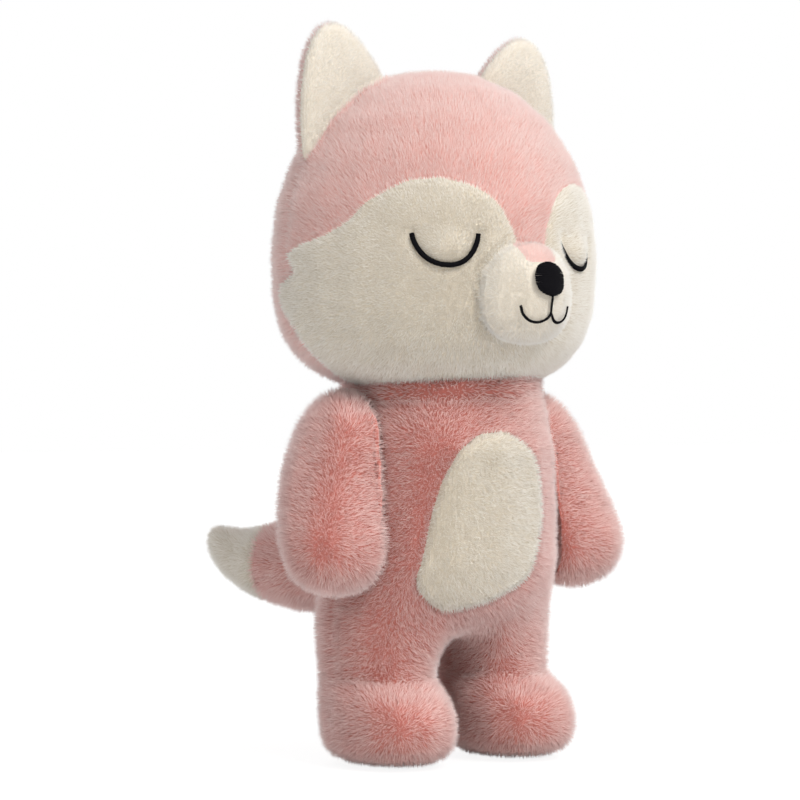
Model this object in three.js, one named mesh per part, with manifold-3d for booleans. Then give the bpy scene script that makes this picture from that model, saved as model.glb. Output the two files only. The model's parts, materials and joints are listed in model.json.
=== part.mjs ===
// A standing plush fox with a big head, closed eyes, a cream face and belly, and a curled tail.
// Millimetres, +Z up. The fox faces -Y, and its own left side is +X. Every cloth panel is drawn
// with its pile, so a panel's outer face is where the fur ends.

import * as THREE from 'three';
import { mergeVertices } from 'three/addons/utils/BufferGeometryUtils.js';
import Module from 'manifold-3d';

const wasm = await Module();
wasm.setup();

// Cloth and fits
const clearance = 0.3; // between two pieces that touch
const pile = 5; // long-pile cloth of the body and head
const shortPile = 4; // velvety cloth of the muzzle
const overrun = 40; // how far a cutter reaches past what it cuts

// Feet
const footHalfWidth = 31;
const footFrontDepth = 40;
const footBackDepth = 42;
const footHeight = 42.5;
const footGap = 11; // between the two feet
const toeLead = 13; // foot centre ahead of the ankle
const soleThickness = 4;
const insoleThickness = 2;
const pelletBagHeight = 19;
const pelletBagMargin = 1.5; // slack round the bag of pellets

// Legs, which run into the torso without a seam
const legSpread = 33; // middle of a thigh from the middle of the body
const legHalfWidth = 29.5;
const legFrontDepth = 36;
const legBackDepth = 40;
const legIntoTorso = 28; // how far a leg's form runs up inside the torso

// Torso
const crotchHeight = 64;
const torsoHeight = 115.4;
const torsoHalfWidth = 61.5;
const torsoFrontDepth = 63;
const torsoBackDepth = 50;
const neckHoleRadius = 30;

// Belly patch
const bellyHalfWidth = 36;
const bellyHeight = 92;
const bellyLift = 11; // its lower end above the crotch
const bellyAside = 6; // its middle is this far to the fox's right

// Neck
const neckLength = 4.6; // from the torso's top to the lowest point of the head
const neckRadius = 49.5;

// Head
const headHalfWidth = 87.5;
const headFrontDepth = 80;
const headBackDepth = 70;
const headUpHeight = 96; // from the widest line of the cheeks to the crown
const headDownHeight = 68; // from the widest line of the cheeks to the chin

// Muzzle
const muzzleHalfWidth = 28;
const muzzleDepth = 22.5;
const muzzleHighHeight = 29; // from its widest line up to the V
const muzzleLowHeight = 23.5; // from its widest line down to the chin
const muzzleDrop = 21.5; // centre below the widest line of the cheeks
const muzzleSink = 5; // centre behind the front of the face
const bridgeHalfWidth = 9.5;
const bridgeHeight = 11.3; // down from the top of the muzzle

// Nose, mouth and eyes
const noseHalfWidth = 8.5;
const noseHalfHeight = 8.2;
const noseLift = 8.6; // centre above the centre of the muzzle
const stitchHeight = 2.2; // how far satin stitch stands up
const mouthHalfWidth = 13.5;
const mouthDrop = 11.5; // lowest stitch below the centre of the muzzle
const mouthThread = 0.9; // half the width of the line
const eyeSpread = 39.3; // middle of an eye from the middle of the face
const eyeHalfWidth = 14.2;
const eyeDepth = 16;
const eyeLift = 10; // ends of the lid line above the widest line of the cheeks
const eyeThread = 1.15; // half the width of the line

// Ears
const earHeight = 118; // tip above the widest line of the cheeks
const earTipSpread = 58; // tip from the middle of the head
const earBaseHalfWidth = 27;
const earBaseSpread = 54; // middle of the base from the middle of the head
const earBaseHeight = 58; // lowest point of the base above the widest line
const earThickness = 15;
const earSetBack = 5; // behind the middle of the head

// Arms
const shoulderHeight = 165;
const shoulderDiscRadius = 17;
const shoulderDiscSink = 2.5; // how far the round shoulder seat is let into the torso
const armRadius = 26;
const armTopLift = 22; // top of the arm above the shoulder's turning line
const armBottomHeight = 83.5;
const handSpread = 78;
const handLead = 20; // hand ahead of the shoulder
const shoulderSpread = 60;
const armSeamShift = 5; // the long seam, outside the middle line of the arm

// Tail
const tailRootRadius = 19;
const tailRootHeight = 96;
const tailRootProud = 8; // root's centre behind the back
const tailRadius = 27.5;
const tailReach = 106; // from the root's centre to the tip, backwards
const tailSwing = 30; // tip to the fox's right of the root
const tailSag = 2;
const tailTipRise = 17; // tip above the root

// How round each form is: 2 is an ellipse, more is squarer
const headSideRoundness = { front: 1.85, back: 2.1 };
const headUprightRoundness = { up: 2.1, down: 3 };
const muzzleSideRoundness = 1.5;
const muzzleUprightRoundness = 2.3;
const torsoRoundness = 2.2;
const footRoundness = 2.3;

// Facets
const mouthSteps = 7;
const stemSteps = 4;
const eyeSteps = 11;
const headSides = 24;
const headRings = 12;
const muzzleRings = 8;
const bodySides = 16;
const limbSides = 10;
const footSides = 12;
const seatSides = 24;
const tailSides = 10;
const smallSides = 12;
const threadSides = 6;

// Where each form stands
const torsoTop = crotchHeight + torsoHeight;
const headMiddle = torsoTop + neckLength + headDownHeight;
const ankleHeight = footHeight + clearance;
const footSpread = footHalfWidth + footGap / 2;
const armTopHeight = shoulderHeight + armTopLift;
const ground = 0;

// Small helpers
const radians = THREE.MathUtils.degToRad;
const fullTurn = THREE.MathUtils.radToDeg(2 * Math.PI);
const mix = THREE.MathUtils.lerp;
const point = (x, y, z) => new THREE.Vector3(x, y, z);
const signedPower = (value, power) => Math.sign(value) * Math.abs(value) ** power;

// The forms' rings, from the lowest to the highest, as shares of the sizes above
const torsoRingShares = [
  { height: 0, width: 0.62, front: 0.46, back: 0.6 },
  { height: 0.034, width: 0.8, front: 0.62, back: 0.78 },
  { height: 0.095, width: 0.93, front: 0.77, back: 0.9 },
  { height: 0.19, width: 0.985, front: 0.89, back: 0.97 },
  { height: 0.33, width: 1, front: 0.955, back: 1 },
  { height: 0.52, width: 0.985, front: 0.975, back: 1 },
  { height: 0.83, width: 0.93, front: 1, back: 0.95 },
  { height: 0.914, width: 0.915, front: 0.945, back: 0.91 },
  { height: 0.966, width: 0.875, front: 0.865, back: 0.87 },
  { height: 1, width: 0.8, front: 0.78, back: 0.83 },
];
const shoulderRing = 6; // the torso's ring at the shoulders
const legRingShares = [
  { height: 0, size: 0.88, out: 0.8 },
  { height: 0.2, size: 0.91, out: 0.8 },
  { height: 0.42, size: 0.99, out: 0.4 },
  { height: 0.7, size: 1.01, out: 0 },
  { height: 1, size: 0.93, out: 0 },
];
const footRingShares = [
  { height: 0, swell: 0.66, toAnkle: 0 },
  { height: 0.05, swell: 0.76, toAnkle: 0 },
  { height: 0.14, swell: 0.87, toAnkle: 0 },
  { height: 0.28, swell: 0.965, toAnkle: 0 },
  { height: 0.54, swell: 1, toAnkle: 0.03 },
  { height: 0.8, swell: 1, toAnkle: 0.3 },
  { height: 0.92, swell: 1, toAnkle: 0.62 },
  { height: 1, swell: 1, toAnkle: 1 },
];
const ankleShare = legRingShares[0].size;
const ankleSpread = mix(legSpread, footSpread, legRingShares[0].out);
// An arm's rings: out and ahead run from the shoulder, 0, to the hand, 1, and deep is the
// ring's depth in front as a share of its radius
const armRingShares = [
  { height: 0.03, radius: 0.412, out: 0.98, ahead: 1, deep: 1 },
  { height: 0.09, radius: 0.716, out: 0.98, ahead: 1, deep: 1 },
  { height: 0.18, radius: 0.912, out: 0.99, ahead: 1, deep: 1 },
  { height: 0.29, radius: 0.981, out: 0.96, ahead: 0.9, deep: 1 },
  { height: 0.42, radius: 1, out: 0.75, ahead: 0.64, deep: 1.04 },
  { height: 0.56, radius: 1.01, out: 0.46, ahead: 0.34, deep: 1.14 },
  { height: 0.69, radius: 0.98, out: 0.15, ahead: 0.17, deep: 1.24 },
  { height: 0.82, radius: 0.9, out: -0.21, ahead: 0.12, deep: 1.28 },
  { height: 0.915, radius: 0.7, out: -0.42, ahead: 0.13, deep: 1.22 },
  { height: 0.975, radius: 0.4, out: -0.44, ahead: 0.13, deep: 1.16 },
];
// The belly patch's outline seen from the front: across from its middle towards the fox's left,
// up from its lower end. It is cut askew, lower and fuller on the fox's right.
const bellyOutlineShares = [
  { across: -0.29, up: 0.01 },
  { across: 0.245, up: 0.067 },
  { across: 0.76, up: 0.185 },
  { across: 0.89, up: 0.33 },
  { across: 1, up: 0.505 },
  { across: 0.96, up: 0.667 },
  { across: 0.85, up: 0.815 },
  { across: 0.575, up: 0.93 },
  { across: 0.225, up: 1 },
  { across: -0.2, up: 0.983 },
  { across: -0.545, up: 0.878 },
  { across: -0.73, up: 0.73 },
  { across: -0.845, up: 0.555 },
  { across: -0.93, up: 0.345 },
  { across: -1, up: 0.203 },
  { across: -0.935, up: 0.122 },
  { across: -0.715, up: 0.04 },
  { across: -0.49, up: 0 },
];
// The tail's middle line: along runs backwards, aside to the fox's right, drop down
const tailLineShares = [
  { along: 0, aside: 0, drop: 0, rise: 0 },
  { along: 0.22, aside: 0.02, drop: 0.7, rise: 0 },
  { along: 0.5, aside: 0.38, drop: 1, rise: 0 },
  { along: 0.76, aside: 0.76, drop: 0.75, rise: 0.08 },
  { along: 0.92, aside: 0.97, drop: 0.2, rise: 0.5 },
  { along: 1, aside: 1, drop: 0, rise: 1 },
];
const tailRingShares = [
  { along: 0.06, radius: 0.82 },
  { along: 0.16, radius: 0.95 },
  { along: 0.28, radius: 1 },
  { along: 0.42, radius: 0.98 },
  { along: 0.56, radius: 0.87 },
  { along: 0.68, radius: 0.72 },
  { along: 0.79, radius: 0.56 },
  { along: 0.89, radius: 0.4 },
  { along: 0.96, radius: 0.25 },
];
const tailSeamShare = 0.61; // along the tail, where pink meets cream
const tailRootDegrees = [20, 45, 70, 90]; // degrees from the root ball's own end
// An ear's outline: across runs from the base's middle outwards, up from the base to the tip
const earOutlineShares = [
  { across: -1.2, up: -0.2 },
  { across: -1.14, up: 0.5 },
  { across: -0.9, up: 0.67 },
  { across: -0.6, up: 0.84 },
  { across: -0.28, up: 0.96 },
  { across: 0, up: 1 },
  { across: 0.32, up: 0.96 },
  { across: 0.58, up: 0.83 },
  { across: 0.76, up: 0.65 },
  { across: 0.9, up: 0.36 },
  { across: 0.95, up: 0.1 },
  { across: 0.93, up: -0.2 },
];
const earDomeShares = [
  { out: 1, thick: 0 },
  { out: 0.93, thick: 0.55 },
  { out: 0.78, thick: 0.84 },
  { out: 0.45, thick: 1 },
];
// The mouth on the fox's left, from the end of the stem to the corner
const mouthLineShares = [
  { across: 0, down: 0.83 },
  { across: 0.12, down: 0.95 },
  { across: 0.38, down: 1 },
  { across: 0.68, down: 0.93 },
  { across: 0.9, down: 0.68 },
  { across: 1, down: 0.34 },
];

// Seams of the head, in degrees round from the front and up from the widest line
const faceTopSeamDegrees = [
  [0, 0], [7.2, 2], [8.2, 6], [12.8, 13.2], [17.6, 17], [24, 20], [34, 22],
  [43.5, 21.4], [51.5, 18], [58.5, 14], [65, 8.5], [74, 4.8], [88, 2.2], [96, 0],
];
const sideSeamDegrees = [
  [-78, 100], [-62, 94], [-45, 91.5], [-27, 95], [-19, 99], [-11, 105], [-5.5, 103.5],
  [-2.8, 88.5], [0, 96],
];
const crownTwistDegrees = 2.8; // the V is sewn this far towards the fox's left
const crownRowShares = [0, 0.12, 0.28, 0.45, 0.62, 0.8, 1]; // shares of the way to the crown's middle
const backRowDegrees = [12, 26, 40, 54, 68, 80, 90];
const backColumns = 7;
const cutterReachShares = { inner: 0.35, outer: 1.25 };

// Colours and finishes
const cloth = (color) => new THREE.MeshStandardMaterial({ color, roughness: 0.95, metalness: 0 });
const pinkCloth = cloth(0xdc9b93);
const lightPinkCloth = cloth(0xe9b9b1);
const creamCloth = cloth(0xebe1d0);
const blackThread = new THREE.MeshStandardMaterial({ color: 0x1b1920, roughness: 0.55 });
const fibreFill = cloth(0xf3f1ec);
const pelletCloth = cloth(0xcfd3d2);
const board = cloth(0xc8b48e);

// Points and triangles become one solid. Points that coincide are merged, and triangles that
// this leaves without area are dropped.
function solid(points, faces) {
  const loose = new THREE.BufferGeometry();
  loose.setAttribute('position', new THREE.Float32BufferAttribute(
    points.flatMap((p) => [p.x, p.y, p.z]), 3));
  loose.setIndex(faces);
  return solidFromGeometry(loose);
}

function solidFromGeometry(geometry) {
  const bare = geometry.clone();
  bare.deleteAttribute('normal');
  bare.deleteAttribute('uv');
  const merged = mergeVertices(bare);
  const index = merged.index.array;
  const kept = [];
  for (let i = 0; i < index.length; i += 3) {
    const [a, b, c] = [index[i], index[i + 1], index[i + 2]];
    if (a !== b && b !== c && c !== a) kept.push(a, b, c);
  }
  return new wasm.Manifold(new wasm.Mesh({
    numProp: 3,
    vertProperties: new Float32Array(merged.attributes.position.array),
    triVerts: new Uint32Array(kept),
  }));
}

// One level ring with its own front and back depth, anticlockwise seen from above
function ring(centre, halfWidth, front, back, roundness, sides) {
  const points = [];
  for (let k = 0; k < sides; k++) {
    const turn = (2 * Math.PI * k) / sides;
    const across = signedPower(Math.cos(turn), 2 / roundness);
    const along = signedPower(Math.sin(turn), 2 / roundness);
    const depth = along < 0 ? front : back;
    points.push(point(centre.x + halfWidth * across, centre.y + depth * along, centre.z));
  }
  return points;
}

// Rings of equal count become a closed form, with a fan of triangles at each end
function loft(rings, first, last) {
  const sides = rings[0].length;
  const points = rings.flat().concat(first, last);
  const firstAt = points.length - 2;
  const lastAt = points.length - 1;
  const top = (rings.length - 1) * sides;
  const faces = [];
  for (let k = 0; k < sides; k++) {
    const next = (k + 1) % sides;
    for (let r = 0; r + 1 < rings.length; r++) {
      const a = r * sides + k;
      const b = r * sides + next;
      faces.push(a, b, b + sides, a, b + sides, a + sides);
    }
    faces.push(firstAt, next, k, lastAt, top + k, top + next);
  }
  return solid(points, faces);
}

const middleOf = (points) => points
  .reduce((sum, p) => sum.add(p), point(0, 0, 0)).divideScalar(points.length);

// A box given by its corners, for cuts
function block(low, high) {
  const size = high.clone().sub(low);
  const box = new THREE.BoxGeometry(size.x, size.y, size.z);
  const middle = low.clone().add(high).multiplyScalar(0.5);
  return solidFromGeometry(box.translate(middle.x, middle.y, middle.z));
}

const reach = headMiddle + headUpHeight + overrun; // past the whole toy
const above = (z) => block(point(-reach, -reach, z), point(reach, reach, z + reach));
const below = (z) => block(point(-reach, -reach, z - reach), point(reach, reach, z));
const behind = (y) => block(point(-reach, y, -reach), point(reach, y + reach, reach));
const before = (y) => block(point(-reach, y - reach, -reach), point(reach, y, reach));
const leftOf = (x) => block(point(x, -reach, -reach), point(x + reach, reach, reach));
const rightOf = (x) => block(point(x - reach, -reach, -reach), point(x, reach, reach));

const fox = new THREE.Group();

function add(name, body, material) {
  const source = body.getMesh();
  const geometry = new THREE.BufferGeometry();
  const places = [];
  for (let i = 0; i < source.vertProperties.length; i += source.numProp) {
    places.push(...source.vertProperties.subarray(i, i + 3));
  }
  geometry.setAttribute('position', new THREE.Float32BufferAttribute(places, 3));
  geometry.setIndex(Array.from(source.triVerts));
  geometry.computeVertexNormals();
  const mesh = new THREE.Mesh(geometry, material);
  mesh.name = name;
  fox.add(mesh);
}

// Head form: a point on it, by degrees round from the front and degrees up
function headPoint(around, up, inset) {
  const turn = radians(around);
  const lift = radians(up);
  const isFront = Math.cos(turn) > 0;
  const side = isFront ? headSideRoundness.front : headSideRoundness.back;
  const upright = lift > 0 ? headUprightRoundness.up : headUprightRoundness.down;
  const depth = (isFront ? headFrontDepth : headBackDepth) - inset;
  const height = (lift > 0 ? headUpHeight : headDownHeight) - inset;
  const slim = Math.abs(Math.cos(lift)) ** (2 / upright);
  return point(
    (headHalfWidth - inset) * slim * signedPower(Math.sin(turn), 2 / side),
    -depth * slim * signedPower(Math.cos(turn), 2 / side),
    headMiddle + height * signedPower(Math.sin(lift), 2 / upright),
  );
}

function headForm(inset) {
  const rings = [];
  for (let r = 1; r < headRings; r++) {
    const up = mix(-90, 90, r / headRings);
    const level = [];
    for (let k = 0; k < headSides; k++) level.push(headPoint((fullTurn * k) / headSides, up, inset));
    rings.push(level);
  }
  return loft(rings, headPoint(0, -90, inset), headPoint(0, 90, inset));
}

// Front surface of the head at a place on the face
function faceDepth(x, z, outset) {
  const height = (z > headMiddle ? headUpHeight : headDownHeight) + outset;
  const upright = z > headMiddle ? headUprightRoundness.up : headUprightRoundness.down;
  const slim = (1 - (Math.abs(z - headMiddle) / height) ** upright) ** (1 / upright);
  const across = Math.abs(x) / ((headHalfWidth + outset) * slim);
  const side = headSideRoundness.front;
  return -(headFrontDepth + outset) * slim * (1 - across ** side) ** (1 / side);
}

// A cutter for one panel of the head: a net of places on the head, drawn in and out from its
// middle so that its walls cut the cloth square along the seams
function panelCutter(columns, rows, place) {
  const middle = point(0, 0, headMiddle);
  const points = [];
  for (const share of [cutterReachShares.outer, cutterReachShares.inner]) {
    for (let r = 0; r <= rows; r++) {
      for (let c = 0; c <= columns; c++) {
        const { around, up } = place(c, r);
        points.push(headPoint(around, up, 0).sub(middle).multiplyScalar(share).add(middle));
      }
    }
  }
  const wide = columns + 1;
  const inner = wide * (rows + 1);
  const faces = [];
  const quad = (a, b, c, d) => faces.push(a, b, c, a, c, d);
  for (let r = 0; r < rows; r++) {
    for (let c = 0; c < columns; c++) {
      const a = r * wide + c;
      quad(a, a + 1, a + 1 + wide, a + wide);
      quad(inner + a, inner + a + wide, inner + a + 1 + wide, inner + a + 1);
    }
    const left = r * wide;
    const right = left + columns;
    quad(left, left + wide, inner + left + wide, inner + left);
    quad(right, inner + right, inner + right + wide, right + wide);
  }
  for (let c = 0; c < columns; c++) {
    const top = rows * wide + c;
    quad(c, inner + c, inner + c + 1, c + 1);
    quad(top, top + 1, inner + top + 1, inner + top);
  }
  return solid(points, faces);
}

const halfGap = clearance / 2;
const sideTurn = sideSeamDegrees[sideSeamDegrees.length - 1][1];
const chinUp = sideSeamDegrees[0][0];
const tuftUp = sideSeamDegrees[sideSeamDegrees.length - 1][0];
// The twist dies away from the V to the side seams
const seamAround = (side, turn) => side * turn + crownTwistDegrees * (1 - turn / sideTurn);

// Face panels: their rows stretch from the chin to the seam over the eye
function faceCutter(side) {
  return panelCutter(faceTopSeamDegrees.length - 1, sideSeamDegrees.length - 1, (c, r) => {
    const column = side > 0 ? c : faceTopSeamDegrees.length - 1 - c;
    const [turn, top] = faceTopSeamDegrees[column];
    const [row, edge] = sideSeamDegrees[r];
    const share = (row - chinUp) / (tuftUp - chinUp);
    return { around: seamAround(side, turn) * (edge / sideTurn), up: mix(chinUp, top, share) };
  }).translate([side * halfGap, -halfGap, -halfGap]);
}

function crownCutter() {
  const last = faceTopSeamDegrees.length - 1;
  return panelCutter(2 * last, crownRowShares.length - 1, (c, r) => {
    const [turn, top] = faceTopSeamDegrees[Math.abs(c - last)];
    return { around: seamAround(Math.sign(c - last), turn), up: mix(top, 90, crownRowShares[r]) };
  }).translate([0, -halfGap, halfGap]);
}

function backCutter(side) {
  const rows = [...sideSeamDegrees, ...backRowDegrees.map((up) => [up, sideTurn])];
  return panelCutter(backColumns, rows.length - 1, (c, r) => {
    const [up, edge] = rows[r];
    const share = side > 0 ? c / backColumns : 1 - c / backColumns;
    return { around: side * mix(edge, 180, share), up };
  }).translate([side * halfGap, halfGap, 0]);
}

const headShell = headForm(0).subtract(headForm(pile));
const sides = [['left', 1], ['right', -1]];
add('head_crown_panel', headShell.intersect(crownCutter()), pinkCloth);
for (const [name, side] of sides) {
  add(`face_panel_${name}`, headShell.intersect(faceCutter(side)), creamCloth);
  add(`head_back_panel_${name}`, headShell.intersect(backCutter(side)), pinkCloth);
}
add('head_stuffing', headForm(pile + clearance), fibreFill);

// Muzzle: a dome sewn onto the face
const muzzleMiddle = point(0, -headFrontDepth + muzzleSink, headMiddle - muzzleDrop);

const muzzleTall = (up) => (up > 0 ? muzzleHighHeight : muzzleLowHeight);

function muzzleForm(inset) {
  const rings = [];
  const place = (up) => point(0, muzzleMiddle.y, muzzleMiddle.z + (muzzleTall(up) - inset)
    * signedPower(Math.sin(radians(up)), 2 / muzzleUprightRoundness));
  for (let r = 1; r < muzzleRings; r++) {
    const up = mix(-90, 90, r / muzzleRings);
    const slim = Math.cos(radians(up)) ** (2 / muzzleUprightRoundness);
    const depth = (muzzleDepth - inset) * slim;
    rings.push(ring(place(up), (muzzleHalfWidth - inset) * slim, depth, depth,
      muzzleSideRoundness, smallSides));
  }
  return loft(rings, place(-90), place(90));
}

function muzzleSurface(x, z, outset) {
  const rise = z - muzzleMiddle.z;
  const upright = muzzleUprightRoundness;
  const slim = (1 - (Math.abs(rise) / (muzzleTall(rise) + outset)) ** upright) ** (1 / upright);
  const across = Math.abs(x) / ((muzzleHalfWidth + outset) * slim);
  const near = (1 - across ** muzzleSideRoundness) ** (1 / muzzleSideRoundness);
  return muzzleMiddle.y - (muzzleDepth + outset) * slim * near;
}

const seat = headForm(-clearance);
const bridgeLow = muzzleMiddle.z + muzzleHighHeight - bridgeHeight;
const bridgeCutter = (slack) => block(
  point(-bridgeHalfWidth - slack, -reach, bridgeLow - slack),
  point(bridgeHalfWidth + slack, reach, reach));
const muzzleShell = muzzleForm(0).subtract(muzzleForm(shortPile)).subtract(seat);
add('muzzle_panel', muzzleShell.subtract(bridgeCutter(clearance)), creamCloth);
add('muzzle_bridge_panel', muzzleShell.intersect(bridgeCutter(0)), lightPinkCloth);
add('muzzle_stuffing', muzzleForm(shortPile + clearance).subtract(seat), fibreFill);

// Nose: an oval of satin stitch that follows the muzzle
function ovalPrism(halfWidth, halfHeight, z, from, to) {
  const outline = new THREE.Shape().absellipse(0, 0, halfWidth, halfHeight, 0, 2 * Math.PI);
  const long = new THREE.ExtrudeGeometry(outline, {
    depth: to - from, bevelEnabled: false, curveSegments: smallSides,
  });
  return solidFromGeometry(long.rotateX(Math.PI / 2).translate(0, to, z));
}

const noseMiddle = muzzleMiddle.z + noseLift;
const noseLayer = muzzleForm(-clearance - stitchHeight).subtract(muzzleForm(-clearance));
add('nose', noseLayer.intersect(ovalPrism(noseHalfWidth, noseHalfHeight, noseMiddle,
  muzzleMiddle.y - reach, muzzleMiddle.y)), blackThread);

// A raised line of stitching along a list of places
function threadLine(places, radius, steps) {
  const outline = new THREE.Shape().absarc(0, 0, radius, 0, 2 * Math.PI);
  return solidFromGeometry(new THREE.ExtrudeGeometry(outline, {
    steps, curveSegments: threadSides / 2, extrudePath: new THREE.CatmullRomCurve3(places),
  }));
}

const mouthProud = clearance + mouthThread;
const onMuzzle = (x, z) => point(x, muzzleSurface(x, z, mouthProud), z);
const mouthArc = (side) => threadLine(mouthLineShares.map(({ across, down }) => onMuzzle(
  side * across * mouthHalfWidth, muzzleMiddle.z - down * mouthDrop)), mouthThread,
  mouthSteps);
const stemTop = noseMiddle - noseHalfHeight - clearance - mouthThread;
const stemLow = muzzleMiddle.z - mouthLineShares[0].down * mouthDrop - mouthThread / 2;
const stemPlaces = [stemTop, (stemTop + stemLow) / 2, stemLow].map((z) => onMuzzle(0, z));
const mouthStem = threadLine(stemPlaces, mouthThread, stemSteps);
add('mouth_stitching', mouthStem.add(mouthArc(1)).add(mouthArc(-1)), blackThread);

// Eyes: closed lids, each a half oval line that hangs from its two ends
const eyeDegrees = [-84, -62, -40, -20, 0, 20, 40, 62, 84];
const eyeLine = (side) => threadLine(eyeDegrees.map((degrees) => {
  const x = side * (eyeSpread + eyeHalfWidth * Math.sin(radians(degrees)));
  const z = headMiddle + eyeLift - eyeDepth * Math.cos(radians(degrees));
  return point(x, faceDepth(x, z, clearance + eyeThread), z);
}), eyeThread, eyeSteps);
for (const [name, side] of sides) add(`eye_stitching_${name}`, eyeLine(side), blackThread);

// Ears: a pillow with its rim in one upright plane, cut to the head it is sewn on
function earForm(side) {
  const low = headMiddle + earBaseHeight;
  const middle = (earBaseSpread + earTipSpread) / 2;
  const rings = [];
  const back = [...earDomeShares].reverse().map(({ out, thick }) => ({ out, thick: -thick }));
  for (const { out, thick } of [...back, ...earDomeShares.slice(1)]) {
    rings.push(earOutlineShares.map(({ across, up }) => {
      const height = (earHeight - earBaseHeight) * up;
      const lean = mix(earBaseSpread, earTipSpread, up);
      const x = mix(middle, lean + earBaseHalfWidth * across, out);
      const z = low + mix((earHeight - earBaseHeight) / 2, height, out);
      return point(side * x, earSetBack - thick * earThickness / 2, z);
    }));
  }
  const ordered = side < 0 ? rings : rings.map((level) => [...level].reverse());
  return loft(ordered, middleOf(rings[0]), middleOf(rings[rings.length - 1]));
}

for (const [name, side] of sides) {
  const ear = earForm(side).subtract(seat);
  add(`ear_front_panel_${name}`, ear.intersect(before(earSetBack - halfGap)), creamCloth);
  add(`ear_back_panel_${name}`, ear.intersect(behind(earSetBack + halfGap)), pinkCloth);
}

// Torso and legs: one form, cut later into front and back cloth
function torsoForm(inset) {
  const rings = torsoRingShares.map(({ height, width, front, back }) => ring(
    point(0, 0, crotchHeight + inset + height * (torsoHeight - 2 * inset)),
    torsoHalfWidth * width - inset, torsoFrontDepth * front - inset,
    torsoBackDepth * back - inset, torsoRoundness, bodySides));
  return loft(rings, middleOf(rings[0]), middleOf(rings[rings.length - 1]));
}

function legForm(side, inset, extra) {
  const length = crotchHeight + legIntoTorso - ankleHeight;
  const rings = legRingShares.map(({ height, size, out }) => ring(
    point(side * mix(legSpread, footSpread, out), 0, ankleHeight + height * (length - inset)),
    legHalfWidth * size - inset, legFrontDepth * size - inset, legBackDepth * size - inset,
    2, bodySides));
  if (extra > 0) rings.unshift(rings[0].map((p) => point(p.x, p.y, p.z - extra)));
  return loft(rings, middleOf(rings[0]), middleOf(rings[rings.length - 1]));
}

const bodyForm = (inset, extra) => torsoForm(inset)
  .add(legForm(1, inset, extra)).add(legForm(-1, inset, extra));

// The round shoulder seats and the cup that the tail's root sits in are let into the torso
const shoulderFace = torsoHalfWidth * torsoRingShares[shoulderRing].width - shoulderDiscSink;
const tailRoot = point(0, torsoBackDepth + tailRootProud, tailRootHeight);
// The cup's flat facets lie inside its radius, so it is widened until they clear the root
const cupRadius = (tailRootRadius + clearance)
  / (Math.cos(Math.PI / bodySides) * Math.cos(Math.PI / (2 * headRings)));

function disc(radius, from, to, y, z) {
  const drum = new THREE.CylinderGeometry(radius, radius, to - from, seatSides);
  return solidFromGeometry(drum.rotateZ(-Math.PI / 2).translate((from + to) / 2, y, z));
}

const shoulderSeat = (side) => disc(shoulderDiscRadius + clearance,
  ...(side > 0 ? [shoulderFace, reach] : [-reach, -shoulderFace]), 0, shoulderHeight);
const ball = (radius, at) => solidFromGeometry(
  new THREE.SphereGeometry(radius, bodySides, headRings).translate(at.x, at.y, at.z));
const seats = shoulderSeat(1).add(shoulderSeat(-1)).add(ball(cupRadius, tailRoot));

const neckHole = loft([0, 1].map((share) => ring(
  point(0, 0, mix(torsoTop - 2 * pile, torsoTop + overrun, share)),
  neckHoleRadius, neckHoleRadius, neckHoleRadius, 2, bodySides)),
point(0, 0, torsoTop - 2 * pile), point(0, 0, torsoTop + overrun));
const bodyShell = bodyForm(0, 0).subtract(bodyForm(pile, overrun)).subtract(seats)
  .subtract(neckHole);

// Belly patch: its outline is carried forward as a prism, set out by the slack on every side
function bellyPrism(slack) {
  const outline = new THREE.Shape();
  bellyOutlineShares.forEach(({ across, up }, k) => {
    const x = across * (bellyHalfWidth + slack);
    const z = mix(-slack, bellyHeight + slack, up);
    if (k === 0) outline.moveTo(x, z);
    else outline.lineTo(x, z);
  });
  const long = new THREE.ExtrudeGeometry(outline, { depth: reach, bevelEnabled: false });
  return solidFromGeometry(long.rotateX(Math.PI / 2)
    .translate(-bellyAside, 0, crotchHeight + bellyLift));
}

const frontShell = bodyShell.intersect(before(-halfGap));
const backShell = bodyShell.intersect(behind(halfGap));
add('body_front_panel', frontShell.subtract(bellyPrism(clearance)), pinkCloth);
add('belly_patch', frontShell.intersect(bellyPrism(0)), creamCloth);
add('body_back_panel_left', backShell.intersect(leftOf(halfGap)), pinkCloth);
add('body_back_panel_right', backShell.intersect(rightOf(-halfGap)), pinkCloth);
add('body_stuffing', bodyForm(pile + clearance, 0).subtract(seats), fibreFill);

// Neck: the stuffed roll that the head is sewn down on
const neckLow = torsoTop + clearance;
const neckRoll = loft([neckLow, headMiddle].map((z) => ring(
  point(0, 0, z), neckRadius, neckRadius, neckRadius, 2, bodySides)),
point(0, 0, neckLow), point(0, 0, headMiddle));
add('neck_roll', neckRoll.subtract(seat), pinkCloth);

// Arms: each swings about the shoulder, so its inner side is turned about that line too and
// clears the torso at every angle
function armForm(side, inset) {
  const rings = armRingShares.map(({ height, radius, out, ahead, deep }) => {
    const r = Math.max(armRadius * radius - inset, clearance);
    const z = mix(armBottomHeight + inset, armTopHeight - inset, height);
    const x = side * mix(shoulderSpread, handSpread, out);
    const front = Math.max(armRadius * radius * deep - inset, clearance);
    return ring(point(x, -handLead * ahead, z), r, front, r, 2, limbSides);
  });
  const low = middleOf(rings[0]).setZ(armBottomHeight + inset);
  const high = middleOf(rings[rings.length - 1]).setZ(armTopHeight - inset);
  return loft(rings, low, high);
}

function armRoom(side, inset) {
  const seatFace = shoulderFace + clearance + inset;
  const hip = torsoHalfWidth + clearance + inset;
  const seatPlug = disc(shoulderDiscRadius - inset,
    ...(side > 0 ? [seatFace, reach] : [-reach, -seatFace]), 0, shoulderHeight);
  return (side > 0 ? rightOf(hip) : leftOf(-hip)).subtract(seatPlug);
}

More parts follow.
